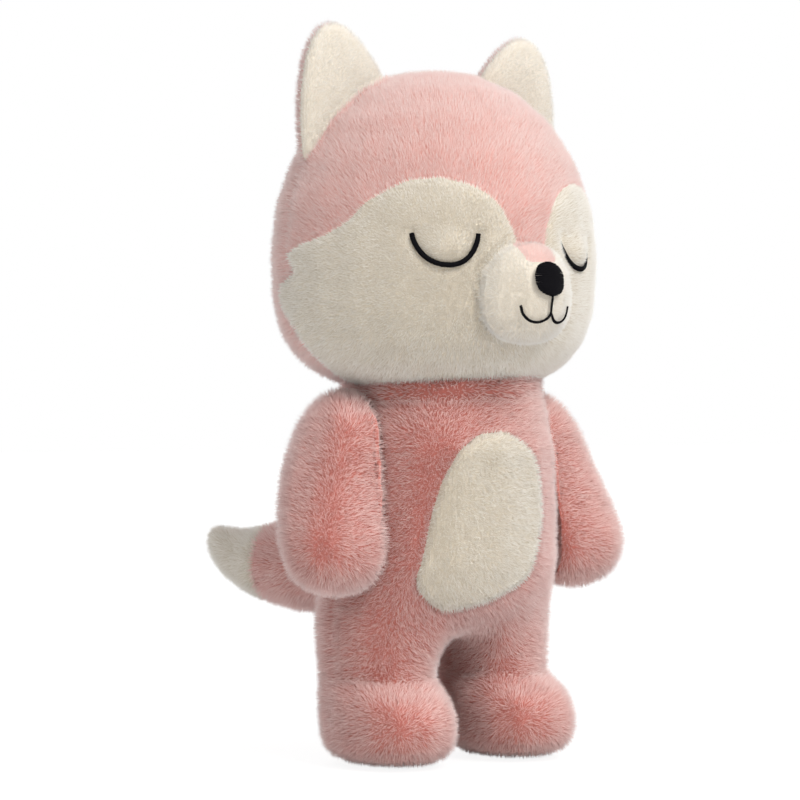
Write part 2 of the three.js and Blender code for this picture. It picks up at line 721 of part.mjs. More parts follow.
const armSeamLean = THREE.MathUtils.radToDeg(
  Math.atan2(handSpread - shoulderSpread, armTopHeight - armBottomHeight));
for (const [name, side] of sides) {
  const shaped = (inset) => armForm(side, inset).subtract(armRoom(side, inset));
  const shell = shaped(0).subtract(shaped(pile));
  const along = (half) => half.rotate([0, -side * armSeamLean, 0]).translate([
    side * ((shoulderSpread + handSpread) / 2 + armSeamShift), 0,
    (armTopHeight + armBottomHeight) / 2]);
  const outside = along(side > 0 ? leftOf(halfGap) : rightOf(-halfGap));
  const inside = along(side > 0 ? rightOf(-halfGap) : leftOf(halfGap));
  add(`arm_outer_panel_${name}`, shell.intersect(outside), pinkCloth);
  add(`arm_inner_panel_${name}`, shell.intersect(inside), pinkCloth);
  add(`arm_stuffing_${name}`, shaped(pile + clearance), fibreFill);
}

// Feet: a flat sole, an upper that closes in to the ankle, and their filling in layers
function footForm(side, inset, extra) {
  const rings = footRingShares.map(({ height, swell, toAnkle }) => ring(
    point(side * mix(footSpread, ankleSpread, toAnkle), mix(-toeLead, 0, toAnkle),
      height * footHeight),
    mix(footHalfWidth * swell, legHalfWidth * ankleShare, toAnkle) - inset,
    mix(footFrontDepth * swell, legFrontDepth * ankleShare, toAnkle) - inset,
    mix(footBackDepth * swell, legBackDepth * ankleShare, toAnkle) - inset,
    footRoundness, footSides));
  if (extra > 0) rings.push(rings[rings.length - 1].map((p) => point(p.x, p.y, p.z + extra)));
  return loft(rings, middleOf(rings[0]), middleOf(rings[rings.length - 1]));
}

const insoleLow = soleThickness + clearance;
const bagLow = insoleLow + insoleThickness + clearance;
const bagHigh = bagLow + pelletBagHeight;
for (const [name, side] of sides) {
  const foot = footForm(side, 0, 0);
  const room = footForm(side, pile, overrun);
  const filling = footForm(side, pile + clearance, 0);
  const bag = footForm(side, pile + pelletBagMargin, 0);
  const layer = (body, low, high) => body.intersect(above(low)).intersect(below(high));
  add(`foot_sole_${name}`, layer(foot, ground, soleThickness), pinkCloth);
  add(`foot_upper_${name}`, foot.subtract(room).intersect(above(insoleLow)), pinkCloth);
  add(`foot_insole_${name}`, layer(filling, insoleLow, insoleLow + insoleThickness), board);
  add(`foot_pellet_bag_${name}`, layer(bag, bagLow, bagHigh), pelletCloth);
  add(`foot_stuffing_${name}`, layer(filling, bagHigh + clearance, footHeight), fibreFill);
}

// Tail: a ball root in its cup, then a swell that curls and tapers to the tip
const tailCurve = new THREE.CatmullRomCurve3(tailLineShares.map(({ along, aside, drop, rise }) => (
  point(-tailSwing * aside, tailRoot.y + tailReach * along,
    tailRoot.z - tailSag * drop + tailTipRise * rise))));

function tailRing(centre, along, radius) {
  const aside = along.clone().cross(point(0, 0, 1)).normalize();
  const up = aside.clone().cross(along).normalize();
  const points = [];
  for (let k = 0; k < tailSides; k++) {
    const turn = (2 * Math.PI * k) / tailSides;
    points.push(centre.clone().addScaledVector(aside, radius * Math.cos(turn))
      .addScaledVector(up, -radius * Math.sin(turn)));
  }
  return points;
}

function tailForm(inset) {
  const start = tailCurve.getTangentAt(0);
  const root = tailRootRadius - inset;
  const rings = tailRootDegrees.map((degrees) => tailRing(
    tailRoot.clone().addScaledVector(start, -root * Math.cos(radians(degrees))), start,
    root * Math.sin(radians(degrees))));
  const end = 1 - inset / tailReach;
  for (const { along, radius } of tailRingShares) {
    const at = along * end;
    rings.push(tailRing(tailCurve.getPointAt(at), tailCurve.getTangentAt(at),
      Math.max(tailRadius * radius - inset, clearance)));
  }
  return loft(rings, tailRoot.clone().addScaledVector(start, -root), tailCurve.getPointAt(end));
}

const tailShell = tailForm(0).subtract(tailForm(pile));
const seamPlace = tailCurve.getPointAt(tailSeamShare);
const seamWay = tailCurve.getTangentAt(tailSeamShare);
const seamTurn = THREE.MathUtils.radToDeg(Math.atan2(-seamWay.x, seamWay.y));
const tipSide = behind(halfGap).rotate([0, 0, seamTurn]).translate(seamPlace.toArray());
const rootSide = before(-halfGap).rotate([0, 0, seamTurn]).translate(seamPlace.toArray());
add('tail_base_panel', tailShell.intersect(rootSide), pinkCloth);
add('tail_tip_panel', tailShell.intersect(tipSide), creamCloth);
add('tail_stuffing', tailForm(pile + clearance), fibreFill);

// The origin is on the ground under the middle of the whole toy, tail and all
const whole = new THREE.Box3().setFromObject(fox).getCenter(new THREE.Vector3());
fox.position.set(-whole.x, -whole.y, 0);

export default fox;
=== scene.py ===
# %% [markdown]
# A plush fox, dressed over its sewing pattern.
# The frame holds the real toy's pieces: panels of fur fabric, cut as solids as thick as cloth
# and pile together, the filling, and the joints where seams flex. On the real toy each panel
# is a knitted backing with pile standing on it. So every panel is rebuilt here as that: a thin
# backing on the stuffed shape, and strands of pile that reach out to the panel's outer face.

# %% Load the frame
import json
import math

import bmesh
import bpy
import numpy as np
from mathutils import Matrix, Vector
from mathutils.bvhtree import BVHTree
from mathutils.kdtree import KDTree


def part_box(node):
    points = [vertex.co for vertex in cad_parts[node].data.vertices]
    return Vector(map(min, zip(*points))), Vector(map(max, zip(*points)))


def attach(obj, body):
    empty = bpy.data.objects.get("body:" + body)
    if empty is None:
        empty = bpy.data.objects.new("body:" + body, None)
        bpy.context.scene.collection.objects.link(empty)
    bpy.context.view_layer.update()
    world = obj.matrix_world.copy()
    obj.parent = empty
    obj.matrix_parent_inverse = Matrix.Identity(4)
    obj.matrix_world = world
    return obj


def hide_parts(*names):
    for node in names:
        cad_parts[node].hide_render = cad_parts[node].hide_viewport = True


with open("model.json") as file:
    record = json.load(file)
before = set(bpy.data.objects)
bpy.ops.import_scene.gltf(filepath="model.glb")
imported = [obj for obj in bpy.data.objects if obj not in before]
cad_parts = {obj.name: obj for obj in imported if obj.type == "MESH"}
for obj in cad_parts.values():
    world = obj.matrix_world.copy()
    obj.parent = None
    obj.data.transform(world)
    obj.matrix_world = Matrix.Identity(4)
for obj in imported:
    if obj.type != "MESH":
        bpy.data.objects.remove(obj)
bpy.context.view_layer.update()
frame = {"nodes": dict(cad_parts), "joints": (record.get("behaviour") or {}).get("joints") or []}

mm = 0.001
both_sides = (("left", 1), ("right", -1))  # the fox's own left is +X

# %% [markdown]
# The camera stands level with the middle of the toy, a step and a half away, and looks at the
# fox from its own front right. A long lens keeps the head and the feet in proportion.

# %% Camera
body_axis = Vector((0, frame["joints"][0]["pos_m"][1], 0))
camera_azimuth = math.radians(-35)
camera_distance = 1545 * mm
camera_height = 181 * mm
camera_aside = -17.2 * mm  # the fox stands a little right of the middle of the picture
sensor_width = 36.0
focal_share = 3.8225  # focal length over sensor width

towards_camera = Vector((math.sin(camera_azimuth), -math.cos(camera_azimuth), 0))
picture_right = Vector((math.cos(camera_azimuth), math.sin(camera_azimuth), 0))
camera_data = bpy.data.cameras.new("camera")
camera_data.sensor_width = sensor_width
camera_data.lens = sensor_width * focal_share
camera_data.clip_end = 20
camera = bpy.data.objects.new("camera", camera_data)
camera.location = (body_axis + towards_camera * camera_distance
                   + picture_right * camera_aside + Vector((0, 0, camera_height)))
camera.rotation_euler = (math.pi / 2, 0, camera_azimuth)
bpy.context.collection.objects.link(camera)
bpy.context.scene.camera = camera
print("camera at", [round(c, 3) for c in camera.location])

# %% [markdown]
# Small helpers. A finished mesh piece sits at the origin with its place in its mesh, as the
# frame's own nodes do. Modifiers are turned into plain mesh by taking a copy of what they make.

# %% Helpers for meshes
def new_object(name, data):
    thing = bpy.data.objects.new(name, data)
    bpy.context.collection.objects.link(thing)
    return thing


def settled(thing):
    """Replace an object's mesh by what its modifiers make of it."""
    graph = bpy.context.evaluated_depsgraph_get()
    mesh = bpy.data.meshes.new_from_object(thing.evaluated_get(graph), depsgraph=graph)
    old = thing.data
    thing.modifiers.clear()
    thing.data = mesh
    bpy.data.meshes.remove(old)
    mesh.name = thing.name
    return thing


def voxel_melted(thing, size):
    """Melt a mesh into one closed skin, made of small squares."""
    melt = thing.modifiers.new("melt", "REMESH")
    melt.mode = "VOXEL"
    melt.voxel_size = size
    return settled(thing)


def vectors_of(mesh, what):
    flat = np.empty(len(mesh.vertices) * 3, dtype=np.float32)
    mesh.vertices.foreach_get(what, flat)
    return flat.reshape(-1, 3).astype(float)


def places_of(mesh):
    return vectors_of(mesh, "co")


def normals_of(mesh):
    return vectors_of(mesh, "normal")


def drop_attributes(mesh, *names):
    for name in names:
        if name in mesh.attributes:
            mesh.attributes.remove(mesh.attributes[name])


def put_places(mesh, places):
    mesh.vertices.foreach_set("co", places.astype(np.float32).ravel())
    mesh.update()


def merged_copy(name, node_names, plugs=()):
    """One mesh from copies of frame nodes, with their shared corners merged. A plug is a cone
    that fills a hollow: across and ahead of the body's axis, low and top radius, foot, top."""
    shape = bmesh.new()
    for across, ahead, low_radius, top_radius, foot, top in plugs:
        made = bmesh.ops.create_cone(shape, cap_ends=True, segments=64, radius1=low_radius,
                                     radius2=top_radius, depth=top - foot)
        bmesh.ops.translate(shape, verts=made["verts"],
                            vec=body_axis + Vector((across, -ahead, (top + foot) / 2)))
    for node_name in node_names:
        shape.from_mesh(frame["nodes"][node_name].data)
    bmesh.ops.remove_doubles(shape, verts=shape.verts, dist=0.01 * mm)
    mesh = bpy.data.meshes.new(name)
    shape.to_mesh(mesh)
    shape.free()
    mesh.materials.clear()
    return new_object(name, mesh)


def edge_ends(mesh):
    flat = np.empty(len(mesh.edges) * 2, dtype=np.int32)
    mesh.edges.foreach_get("vertices", flat)
    return flat.reshape(-1, 2)


def smoothed(values, mesh, passes, ease=None):
    """Move each vertex's number or vector half way to its neighbours' mean, several times.
    Ease is a share for each vertex, 0 where the value stays as it is."""
    ends = edge_ends(mesh)
    counts = np.maximum(np.bincount(ends.ravel(), minlength=len(mesh.vertices)), 1).astype(float)
    counts = counts if values.ndim == 1 else counts[:, None]
    step = 0.5 if ease is None else 0.5 * ease
    step = step if ease is None or values.ndim == 1 else step[:, None]
    for _ in range(passes):
        total = np.zeros_like(values)
        np.add.at(total, ends[:, 0], values[ends[:, 1]])
        np.add.at(total, ends[:, 1], values[ends[:, 0]])
        values = (1 - step) * values + step * total / counts
    return values


def tree_of_nodes(node_names):
    corners, faces = [], []
    for node_name in node_names:
        mesh = frame["nodes"][node_name].data
        start = len(corners)
        corners.extend(v.co.copy() for v in mesh.vertices)
        faces.extend([start + i for i in p.vertices] for p in mesh.polygons)
    return BVHTree.FromPolygons(corners, faces)


def tree_of_mesh(mesh):
    return BVHTree.FromPolygons([v.co.copy() for v in mesh.vertices],
                                [list(p.vertices) for p in mesh.polygons])


def fall_off(distance, reach):
    """1 at no distance, 0 from the reach on, and smooth between."""
    share = np.clip(1 - np.asarray(distance) / reach, 0, 1)
    return share * share * (3 - 2 * share)


print("helpers ready")

# %% [markdown]
# The stuffed shapes. A real skin is smooth where its pattern pieces were flat, because the
# filling presses it round. A voxel remesh melts the panels and their filling into one closed
# skin, a few rounds of smoothing take the facets out, and the skin is set out again to where
# the panels' outer faces are.

# %% Stuffed skins
crisp_margin = 1 * mm  # skin this near to a crisp node is smoothed no further
crisp_blend = 6 * mm  # and from there the smoothing rises over this


def outer_gap(tree, place, normal, farthest):
    """How far outside a place the outermost face along its normal lies."""
    start = Vector(place) + Vector(normal) * farthest
    _, facing, _, far = tree.ray_cast(start, -Vector(normal), 2 * farthest)
    return farthest - far if facing is not None and facing.dot(Vector(normal)) > 0.2 else 0.0


def stuffed_skin(name, node_names, voxel, passes, crisp=(), crisp_passes=6, farthest=6 * mm,
                 plugs=(), rounds=1, outside=None):
    """Melt nodes into one smooth skin. The crisp ones are small forms, smoothed less. Where
    plugs fill it out, it is set out to the panels but never drawn in to them. Where a way is
    given as the outside, the far side from it stays round."""
    skin = voxel_melted(merged_copy(name, node_names, plugs), voxel)
    mesh = skin.data
    places = places_of(mesh)
    ease = None
    if crisp:
        small = tree_of_nodes(crisp)
        ease = np.array([small.find_nearest(Vector(place))[3] for place in places])
        ease = np.clip((ease - crisp_margin) / crisp_blend, 0, 1)
        places = smoothed(places, mesh, crisp_passes)
    places = smoothed(places, mesh, passes, ease)
    put_places(mesh, places)
    outer = tree_of_nodes(node_names)
    for _ in range(rounds):
        places, normals = places_of(mesh), normals_of(mesh)
        gap = np.array([outer_gap(outer, place, normal, farthest)
                        for place, normal in zip(places, normals)])
        gap = np.maximum(gap, 0) if plugs else gap
        if outside is not None:
            gap *= np.clip((normals @ np.array(outside) + 0.5) / 0.5, 0, 1)
        gap = smoothed(smoothed(gap, mesh, 4), mesh, passes, ease)
        put_places(mesh, places + normals * gap[:, None])
    mean_gap = round(float(gap.mean()) / mm, 2)
    print(name, len(mesh.polygons), "faces, last set out by", mean_gap, "mm")
    return skin


def named(*starts, side=""):
    return [name for name in frame["nodes"] if name.startswith(starts) and name.endswith(side)]


neck_low, neck_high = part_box("neck_roll")
neck_plug = (3 * mm, 3 * mm, neck_high[0] + 4 * mm, neck_high[0] - 1 * mm, neck_low[2] - 9 * mm,
             neck_low[2] + 34 * mm)
thigh_plugs = [(sign * across, ahead, low_radius, top_radius, foot, top) for _, sign in both_sides
               for across, ahead, low_radius, top_radius, foot, top in (
                   (32 * mm, 13 * mm, 20 * mm, 29 * mm, 44 * mm, 98 * mm),
                   (24 * mm, 24 * mm, 12 * mm, 30 * mm, 56 * mm, 100 * mm))]
head_nodes = named("head_", "face_", "muzzle_", "ear_")
torso_nodes = named("body_", "belly_", "foot_", "neck_")
skins = {
    "head": stuffed_skin("head_skin", head_nodes, 2.1 * mm, 18, crisp=named("muzzle_", "ear_"),
                         crisp_passes=8, farthest=3 * mm),
    "torso": stuffed_skin("torso_skin", torso_nodes, 2.6 * mm, 20, plugs=[neck_plug] + thigh_plugs,
                          rounds=2),
    "tail": stuffed_skin("tail_skin", named("tail_"), 2.2 * mm, 14),
}
for side, sign in both_sides:
    skins["arm_" + side] = stuffed_skin("arm_skin_" + side, named("arm_", side=side), 2.3 * mm, 20,
                                          rounds=2, outside=(sign, 0, 0))

# %% [markdown]
# The torso's cloth swells over the top of the thighs, and up to the neck, with no edge. A second
# smoothing, only in these bands, gives it.

# %% Melt the torso into the thighs and the neck
def melt_band(skin, low, high, passes):
    places = places_of(skin.data)
    share = np.clip((places[:, 2] - low) / (high - low), 0, 1)
    put_places(skin.data, smoothed(places, skin.data, passes, np.sin(math.pi * share) ** 0.5))
    print(skin.name, "melted from", round(low / mm), "to", round(high / mm), "mm")


melt_band(skins["torso"], 56 * mm, 98 * mm, 24)
melt_band(skins["torso"], neck_low[2] - 22 * mm, neck_low[2] + 18 * mm, 30)

# %% [markdown]
# A stuffed skin is a balloon of cloth: the filling presses its flat sides out, and the edges
# between them round off. So a coarse sheet of each skin is run as cloth under pressure, without
# weight, and the fine skin takes over how far the sheet moved along its own way out. The mean
# move is taken off again, so the piece keeps its size and only its shape fills.

# %% Swell the skins as cloth under pressure
def swell(skin, grid, most, least, pressure=4.0, last_frame=20):
    sheet = voxel_melted(new_object(skin.name + "_sheet", skin.data.copy()), grid)
    before = places_of(sheet.data)
    run = sheet.modifiers.new("cloth", "CLOTH")
    run.settings.quality = 5
    run.settings.use_pressure = True
    run.settings.uniform_pressure_force = pressure
    run.settings.effector_weights.gravity = 0
    run.collision_settings.use_collision = False
    run.point_cache.frame_start, run.point_cache.frame_end = 1, last_frame
    for number in range(1, last_frame + 1):
        bpy.context.scene.frame_set(number)
    settled(sheet)
    move = places_of(sheet.data) - before
    move = smoothed(move, sheet.data, 2)
    near = KDTree(len(before))
    for index, place in enumerate(before):
        near.insert(place, index)
    near.balance()
    places, normals = places_of(skin.data), normals_of(skin.data)
    along = np.zeros(len(places))
    for k, place in enumerate(places):
        found = near.find_n(Vector(place), 4)
        shares = np.array([1 / (far + 0.2 * mm) for _, _, far in found])
        mean = (move[[index for _, index, _ in found]] * shares[:, None]).sum(axis=0) / shares.sum()
        along[k] = mean @ normals[k]
    along = smoothed(along, skin.data, 6)
    fresh = np.clip(along - along.mean(), -least, most)
    put_places(skin.data, places + normals * smoothed(fresh, skin.data, 6)[:, None])
    bpy.data.objects.remove(sheet)
    bpy.context.scene.frame_set(1)
    spread = (along.min(), along.mean(), along.max())
    print(skin.name, "pressed by", [round(float(v) / mm, 1) for v in spread], "mm as cloth")


for side, _ in both_sides:
    swell(skins["arm_" + side], 4.5 * mm, 4 * mm, 1 * mm)
swell(skins["torso"], 5.5 * mm, 3 * mm, 1 * mm)

# %% [markdown]
# The arms hang against the torso, and their filling gives: the inner side of an arm takes the
# torso's shape, most of all just below the shoulder. So the inner cloth moves inwards until it
# meets the torso, or as far as the filling lets it.

# %% Lay the arms against the torso
give_heights = np.array([100, 130, 150, 168]) * mm
give_depths = np.array([10, 12, 16, 18]) * mm
shoulder_rise = 5 * mm  # the cloth at the top of an arm is drawn up to the neck
rise_from, rise_over = 145 * mm, 32 * mm  # it starts at this height and is full after this
pile_press = 2 * mm  # the piles of the two press into each other


def lay_against(skin, sign, torso):
    mesh = skin.data
    places, normals = places_of(mesh), normals_of(mesh)
    above = np.maximum(places[:, 2] - rise_from, 0)
    places[:, 2] += shoulder_rise * (1 - fall_off(above, rise_over))
    inwards = Vector((-sign, 0, 0))
    shift = np.interp(places[:, 2], give_heights, give_depths)
    for k, place in enumerate(places):
        nearest, facing, _, _ = torso.find_nearest(Vector(place))
        hit = torso.ray_cast(Vector(place), inwards, float(shift[k]) + mm)
        if (Vector(place) - nearest).dot(facing) < 0:
            shift[k] = 0
        elif hit[0] is not None:
            shift[k] = hit[3] + pile_press
    shift *= np.clip((normals @ np.array(inwards) + 0.5) / 0.9, 0, 1)
    shift = smoothed(shift, mesh, 10)
    put_places(mesh, smoothed(places + np.array(inwards) * shift[:, None], mesh, 3))
    print(skin.name, "moved by up to", round(float(shift.max()) / mm, 1), "mm")


torso_side = tree_of_mesh(skins["torso"].data)
for side, sign in both_sides:
    lay_against(skins["arm_" + side], sign, torso_side)

# %% [markdown]
# Every panel's backing lies as deep below the panel's outer face as its pile is tall: deep
# under the long fur, shallow under the velvet. The seam thread pulls the cloth in a little
# more, which makes a shallow valley along each seam. Where two panels are equally far from a
# place on the skin, there is the seam.

# %% Draw the skins in by the height of the pile
velvet_depths = {"face_": 2.0 * mm, "muzzle_": 1.5 * mm, "ear_front_": 1.6 * mm,
                 "belly_": 2.4 * mm, "tail_tip_": 2.6 * mm}
fur_depth = 4.3 * mm
thin_fur_depths = {"head_crown_": 3.6 * mm, "ear_back_": 2.2 * mm}


def pile_depth(panel):
    known = {**velvet_depths, **thin_fur_depths}
    return next((known[start] for start in known if panel.startswith(start)), fur_depth)


def panels_of(*starts, side=""):
    return [n for n in named(*starts, side=side)
            if not any(inside in n for inside in ("stuffing", "insole", "pellet"))]


def press(mesh, amounts):
    """Move each vertex inwards along its own normal."""
    put_places(mesh, places_of(mesh) - normals_of(mesh) * amounts[:, None])


seam_reach = 4 * mm  # how far from a seam its valley ends
muzzle_valley = 1.0 * mm  # the muzzle is a stuffed piece of its own, sewn on all round
muzzle_valley_reach = 3.5 * mm


def draw_in(skin, panels, passes, valley):
    """Draw a skin in to its backing, and give back how far every panel is from its vertices."""
    trees = [tree_of_nodes([panel]) for panel in panels]
    far = np.array([[tree.find_nearest(Vector(place))[3] for tree in trees]
                    for place in places_of(skin.data)])
    far = smoothed(far, skin.data, passes)
    depth = np.array([pile_depth(panel) for panel in panels])[far.argmin(axis=1)]
    depth = smoothed(depth, skin.data, 3)
    ordered = np.sort(far, axis=1)
    depth += valley * fall_off(ordered[:, 1] - ordered[:, 0], seam_reach)
    muzzle = [n for n, panel in enumerate(panels) if panel.startswith("muzzle_")]
    if muzzle:
        others = [n for n in range(len(panels)) if n not in muzzle]
        apart = np.abs(far[:, muzzle].min(axis=1) - far[:, others].min(axis=1))
        depth += muzzle_valley * fall_off(apart, muzzle_valley_reach)
    press(skin.data, depth)
    return far


sewing = {
    "head": (panels_of("head_", "face_", "muzzle_", "ear_"), 2, 0.4 * mm),
    "torso": (panels_of("body_", "belly_", "foot_", "neck_"), 3, 0.9 * mm),
    "tail": (panels_of("tail_"), 2, 0.6 * mm),
}
for side, _ in both_sides:
    sewing["arm_" + side] = (panels_of("arm_", side=side), 3, 0.2 * mm)
panel_far = {key: draw_in(skins[key], *how) for key, how in sewing.items()}
print("drawn in:", {key: far.shape for key, far in panel_far.items()})

# %% [markdown]
# The lids are stitched through the face, which pulls the cloth in along the line and leaves the
# lid standing up round inside it. The line is half an oval that hangs from its two ends. Its
# place comes from the frame's own stitching, and its depth from the skin behind it.

# %% Lines of the face
lid_half_width = 1.15 * mm
mouth_half_width = 0.6 * mm
lid_ends = 84  # degrees to either side of the lid's lowest stitch
mouth_shares = [(0, 0.66), (0.1, 0.86), (0.36, 1), (0.66, 0.94), (0.88, 0.7), (0.97, 0.36)]


def rounded(points, steps):
    """A curve through points, as in a flexible rule, with this many places to a span."""
    points = [np.asarray(p, dtype=float) for p in points]
    points = [2 * points[0] - points[1]] + points + [2 * points[-1] - points[-2]]
    line = []
    for a, b, c, d in zip(points, points[1:], points[2:], points[3:]):
        for k in range(steps):
            t = k / steps
            line.append(0.5 * (2 * b + (c - a) * t + (2 * a - 5 * b + 4 * c - d) * t ** 2
                               + (3 * b - a - 3 * c + d) * t ** 3))
    return line + [points[-2]]


def from_the_front(tree, x, z):
    """The cloth's place and outward way where a level line from in front meets it."""
    hit = tree.ray_cast(Vector((x, -1, z)), Vector((0, 1, 0)))
    return np.array(hit[0]), np.array(hit[1])


def lid_line(tree, side, sign):
    low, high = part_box("eye_stitching_" + side)
    middle = (low[0] + high[0]) / 2
    half = (high[0] - low[0]) / 2 - lid_half_width
    bottom = low[2] + lid_half_width
    depth = (high[2] - bottom) / (1 - math.cos(math.radians(lid_ends)))
    line = []
    for degrees in np.linspace(-lid_ends, lid_ends, 33):
        turn = math.radians(degrees)
        line.append(from_the_front(tree, middle + sign * half * math.sin(turn),
                                   bottom + depth * (1 - math.cos(turn))))
    return line


head_tree = tree_of_mesh(skins["head"].data)
lids = {side: lid_line(head_tree, side, sign) for side, sign in both_sides}
print("lids:", {side: len(line) for side, line in lids.items()})

# %% Pull the face in along the lids
def distance_to(line, places):
    """Each place's distance to a line of places, given closely spaced."""
    points = np.array([p for p, _ in line])
    return np.sqrt(((places[:, None, :] - points[None]) ** 2).sum(axis=2)).min(axis=1)


lid_pull = 1.1 * mm
lid_bulge = 2.2 * mm
pull_reach, bulge_reach = 6 * mm, 13 * mm
stitch_margin = 0.9 * mm  # the mouth's line runs this far inside its stitching's box
head_mesh = skins["head"].data
places = places_of(head_mesh)
pull = np.zeros(len(places))
for side, sign in both_sides:
    line = lids[side]
    front = places[:, 1] < 0.5 * (line[0][0][1] + line[-1][0][1]) + 20 * mm
    pull += lid_pull * fall_off(distance_to(line, places), pull_reach) * front
    ends = (line[0][0] + line[-1][0]) / 2
    lid_middle = ends * 0.55 + line[len(line) // 2][0] * 0.45
    pull -= lid_bulge * fall_off(np.linalg.norm(places - lid_middle, axis=1), bulge_reach)
press(head_mesh, pull)
head_tree = tree_of_mesh(head_mesh)
lids = {side: lid_line(head_tree, side, sign) for side, sign in both_sides}

mouth_low, mouth_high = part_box("mouth_stitching")
nose_low, nose_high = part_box("nose")
nose_middle = (nose_low[2] + nose_high[2]) / 2
muzzle_middle = nose_middle - 8.6 * mm
mouth_half = mouth_high[0] - stitch_margin
mouth_drop = muzzle_middle - mouth_low[2] - stitch_margin
mouth_lines = []
for sign in (1, -1):
    flat = rounded([(across * sign * mouth_half, muzzle_middle - down * mouth_drop)
                    for across, down in mouth_shares], 6)
    mouth_lines.append([from_the_front(head_tree, x, z) for x, z in flat])
stem = np.linspace(nose_low[2] + 0.6 * mm, muzzle_middle - mouth_shares[0][1] * mouth_drop, 9)
mouth_lines.append([from_the_front(head_tree, 0, z) for z in stem])
print("mouth:", round(2 * mouth_half / mm, 1), "mm wide")

# %% [markdown]
# The panels. The skin is cut along the seams of the sewing pattern. The edges that cross from
# one panel's side to another's are split at the crossing, so the seam is a clean line.

# %% Cut a skin into its panels
def cut_at_seams(skin, panels, far):
    """Give back one mesh object for each panel, cut from the skin at the seams."""
    shape = bmesh.new()
    shape.from_mesh(skin.data)
    distance = {vert: far[vert.index] for vert in shape.verts}
    for number in range(len(panels)):
        others = [n for n in range(len(panels)) if n != number]
        ahead = {vert: row[number] - min(row[n] for n in others)
                 for vert, row in distance.items()}
        on_seam = {}  # keeps the order of the cuts, so that each run numbers its faces alike
        for edge in list(shape.edges):
            a, b = edge.verts
            if ahead[a] * ahead[b] >= 0:
                continue
            share = ahead[a] / (ahead[a] - ahead[b])
            row = distance[a] * (1 - share) + distance[b] * share
            fresh = bmesh.utils.edge_split(edge, a, share)[1]
            distance[fresh] = row
            ahead[fresh] = 0.0
            on_seam[fresh] = True
        for face in dict.fromkeys(f for vert in on_seam for f in vert.link_faces):
            marked = [v for v in face.verts if v in on_seam]
            if len(marked) == 2 and not shape.edges.get(marked):
                bmesh.utils.face_split(face, *marked)
    shape.faces.index_update()
    owner = [int(np.argmin(sum(distance[v] for v in face.verts))) for face in shape.faces]
    pieces = {}
    for number, panel in enumerate(panels):
        cut = shape.copy()
        cut.faces.ensure_lookup_table()
        strangers = [cut.faces[i] for i, who in enumerate(owner) if who != number]
        bmesh.ops.delete(cut, geom=strangers, context="FACES")
        mesh = bpy.data.meshes.new(panel + "_cloth")
        cut.to_mesh(mesh)
        cut.free()
        pieces[panel] = new_object(panel + "_cloth", mesh)
    shape.free()
    bpy.data.objects.remove(skin)
    print("cut:", {panel: len(piece.data.polygons) for panel, piece in pieces.items()})
    return pieces


cloth = {}
for key, (panels, _, _) in sewing.items():
    cloth.update(cut_at_seams(skins[key], panels, panel_far[key]))

# %% [markdown]
# Fur. On the real cloth each strand is a fine fibre that stands straight up from the backing,
# and its tip clings to its neighbours' tips in tufts a millimetre or two across. Seen along
# the strands the tufts are pale dots with the shade deep among the roots between them, which
# the finishes also paint into the roots' colour, and at the outline they are fine streaks. Hair
# curves would do for a picture, but the fur has to be a mesh, so each strand is a slim
# three-sided spike of four triangles. Geometry Nodes scatter the spikes and a second, sparser
# set of points: each spike bends to the nearest of these.
# A strand's place in a small colour chart, its tone across and root to tip upwards, is kept
# in its UV map, so one material colours a whole fur by that chart.

# %% Helpers for node trees
def add_node(tree, kind, settings=None, **inputs):
    """Add a node, set its properties, and set or link its inputs by name."""
    made = tree.nodes.new(kind)
    for key, value in (settings or {}).items():
        setattr(made, key, value)
    for key, value in inputs.items():
        name = key.replace("_", " ")
        socket = next(s for s in made.inputs if s.enabled and s.name == name)
        if isinstance(value, bpy.types.NodeSocket):
            tree.links.new(value, socket)
        else:
            socket.default_value = value
    return made


def out(made, name=None):
    """The enabled output of a node, by name where it has several."""
    return next(s for s in made.outputs if s.enabled and (name is None or s.name == name))


def fill(tree, sockets, values):
    for socket, value in zip(sockets, values):
        if isinstance(value, bpy.types.NodeSocket):
            tree.links.new(value, socket)
        elif value is not None:
            socket.default_value = value


def vector_math(tree, operation, a, b=None, scale=None):
    made = tree.nodes.new("ShaderNodeVectorMath")
    made.operation = operation
    fill(tree, (made.inputs[0], made.inputs[1], made.inputs[3]), (a, b, scale))
    return made.outputs[1] if operation in ("DOT_PRODUCT", "LENGTH") else made.outputs[0]


def number_math(tree, operation, a, b=None, c=None, clamp=False):
    made = tree.nodes.new("ShaderNodeMath")
    made.operation = operation
    made.use_clamp = clamp
    fill(tree, made.inputs, (a, b, c))
    return made.outputs[0]


def times(tree, a, b):
    return number_math(tree, "MULTIPLY", a, b)


def plus(tree, a, b):
    return number_math(tree, "ADD", a, b)


def over(tree, a, b):
    return number_math(tree, "DIVIDE", a, b)


def scaled(tree, value, factor, offset):
    return number_math(tree, "MULTIPLY_ADD", value, factor, offset)


def chance(tree, low, high, seed, kind="FLOAT"):
    """A random number or vector between two limits, its own for each point."""
    made = add_node(tree, "FunctionNodeRandomValue", {"data_type": kind}, Seed=seed)
    limits = [s for s in made.inputs if s.enabled and s.name in ("Min", "Max")]
    fill(tree, limits, (low, high))
    return out(made)


def kept(tree, name, kind="FLOAT"):
    """Read an attribute that the cloth or an earlier step carries."""
    made = add_node(tree, "GeometryNodeInputNamedAttribute", {"data_type": kind}, Name=name)
    return out(made, "Attribute")


def keep(tree, geometry, name, value, kind="FLOAT", domain="POINT"):
    made = add_node(tree, "GeometryNodeStoreNamedAttribute", {"data_type": kind, "domain": domain},
                    Geometry=geometry, Name=name, Value=value)
    return out(made)


def add_input(tree, name, kind, default=None):
    socket = tree.interface.new_socket(name, in_out="INPUT", socket_type=kind)
    if default is not None:
        socket.default_value = default
    return socket.identifier


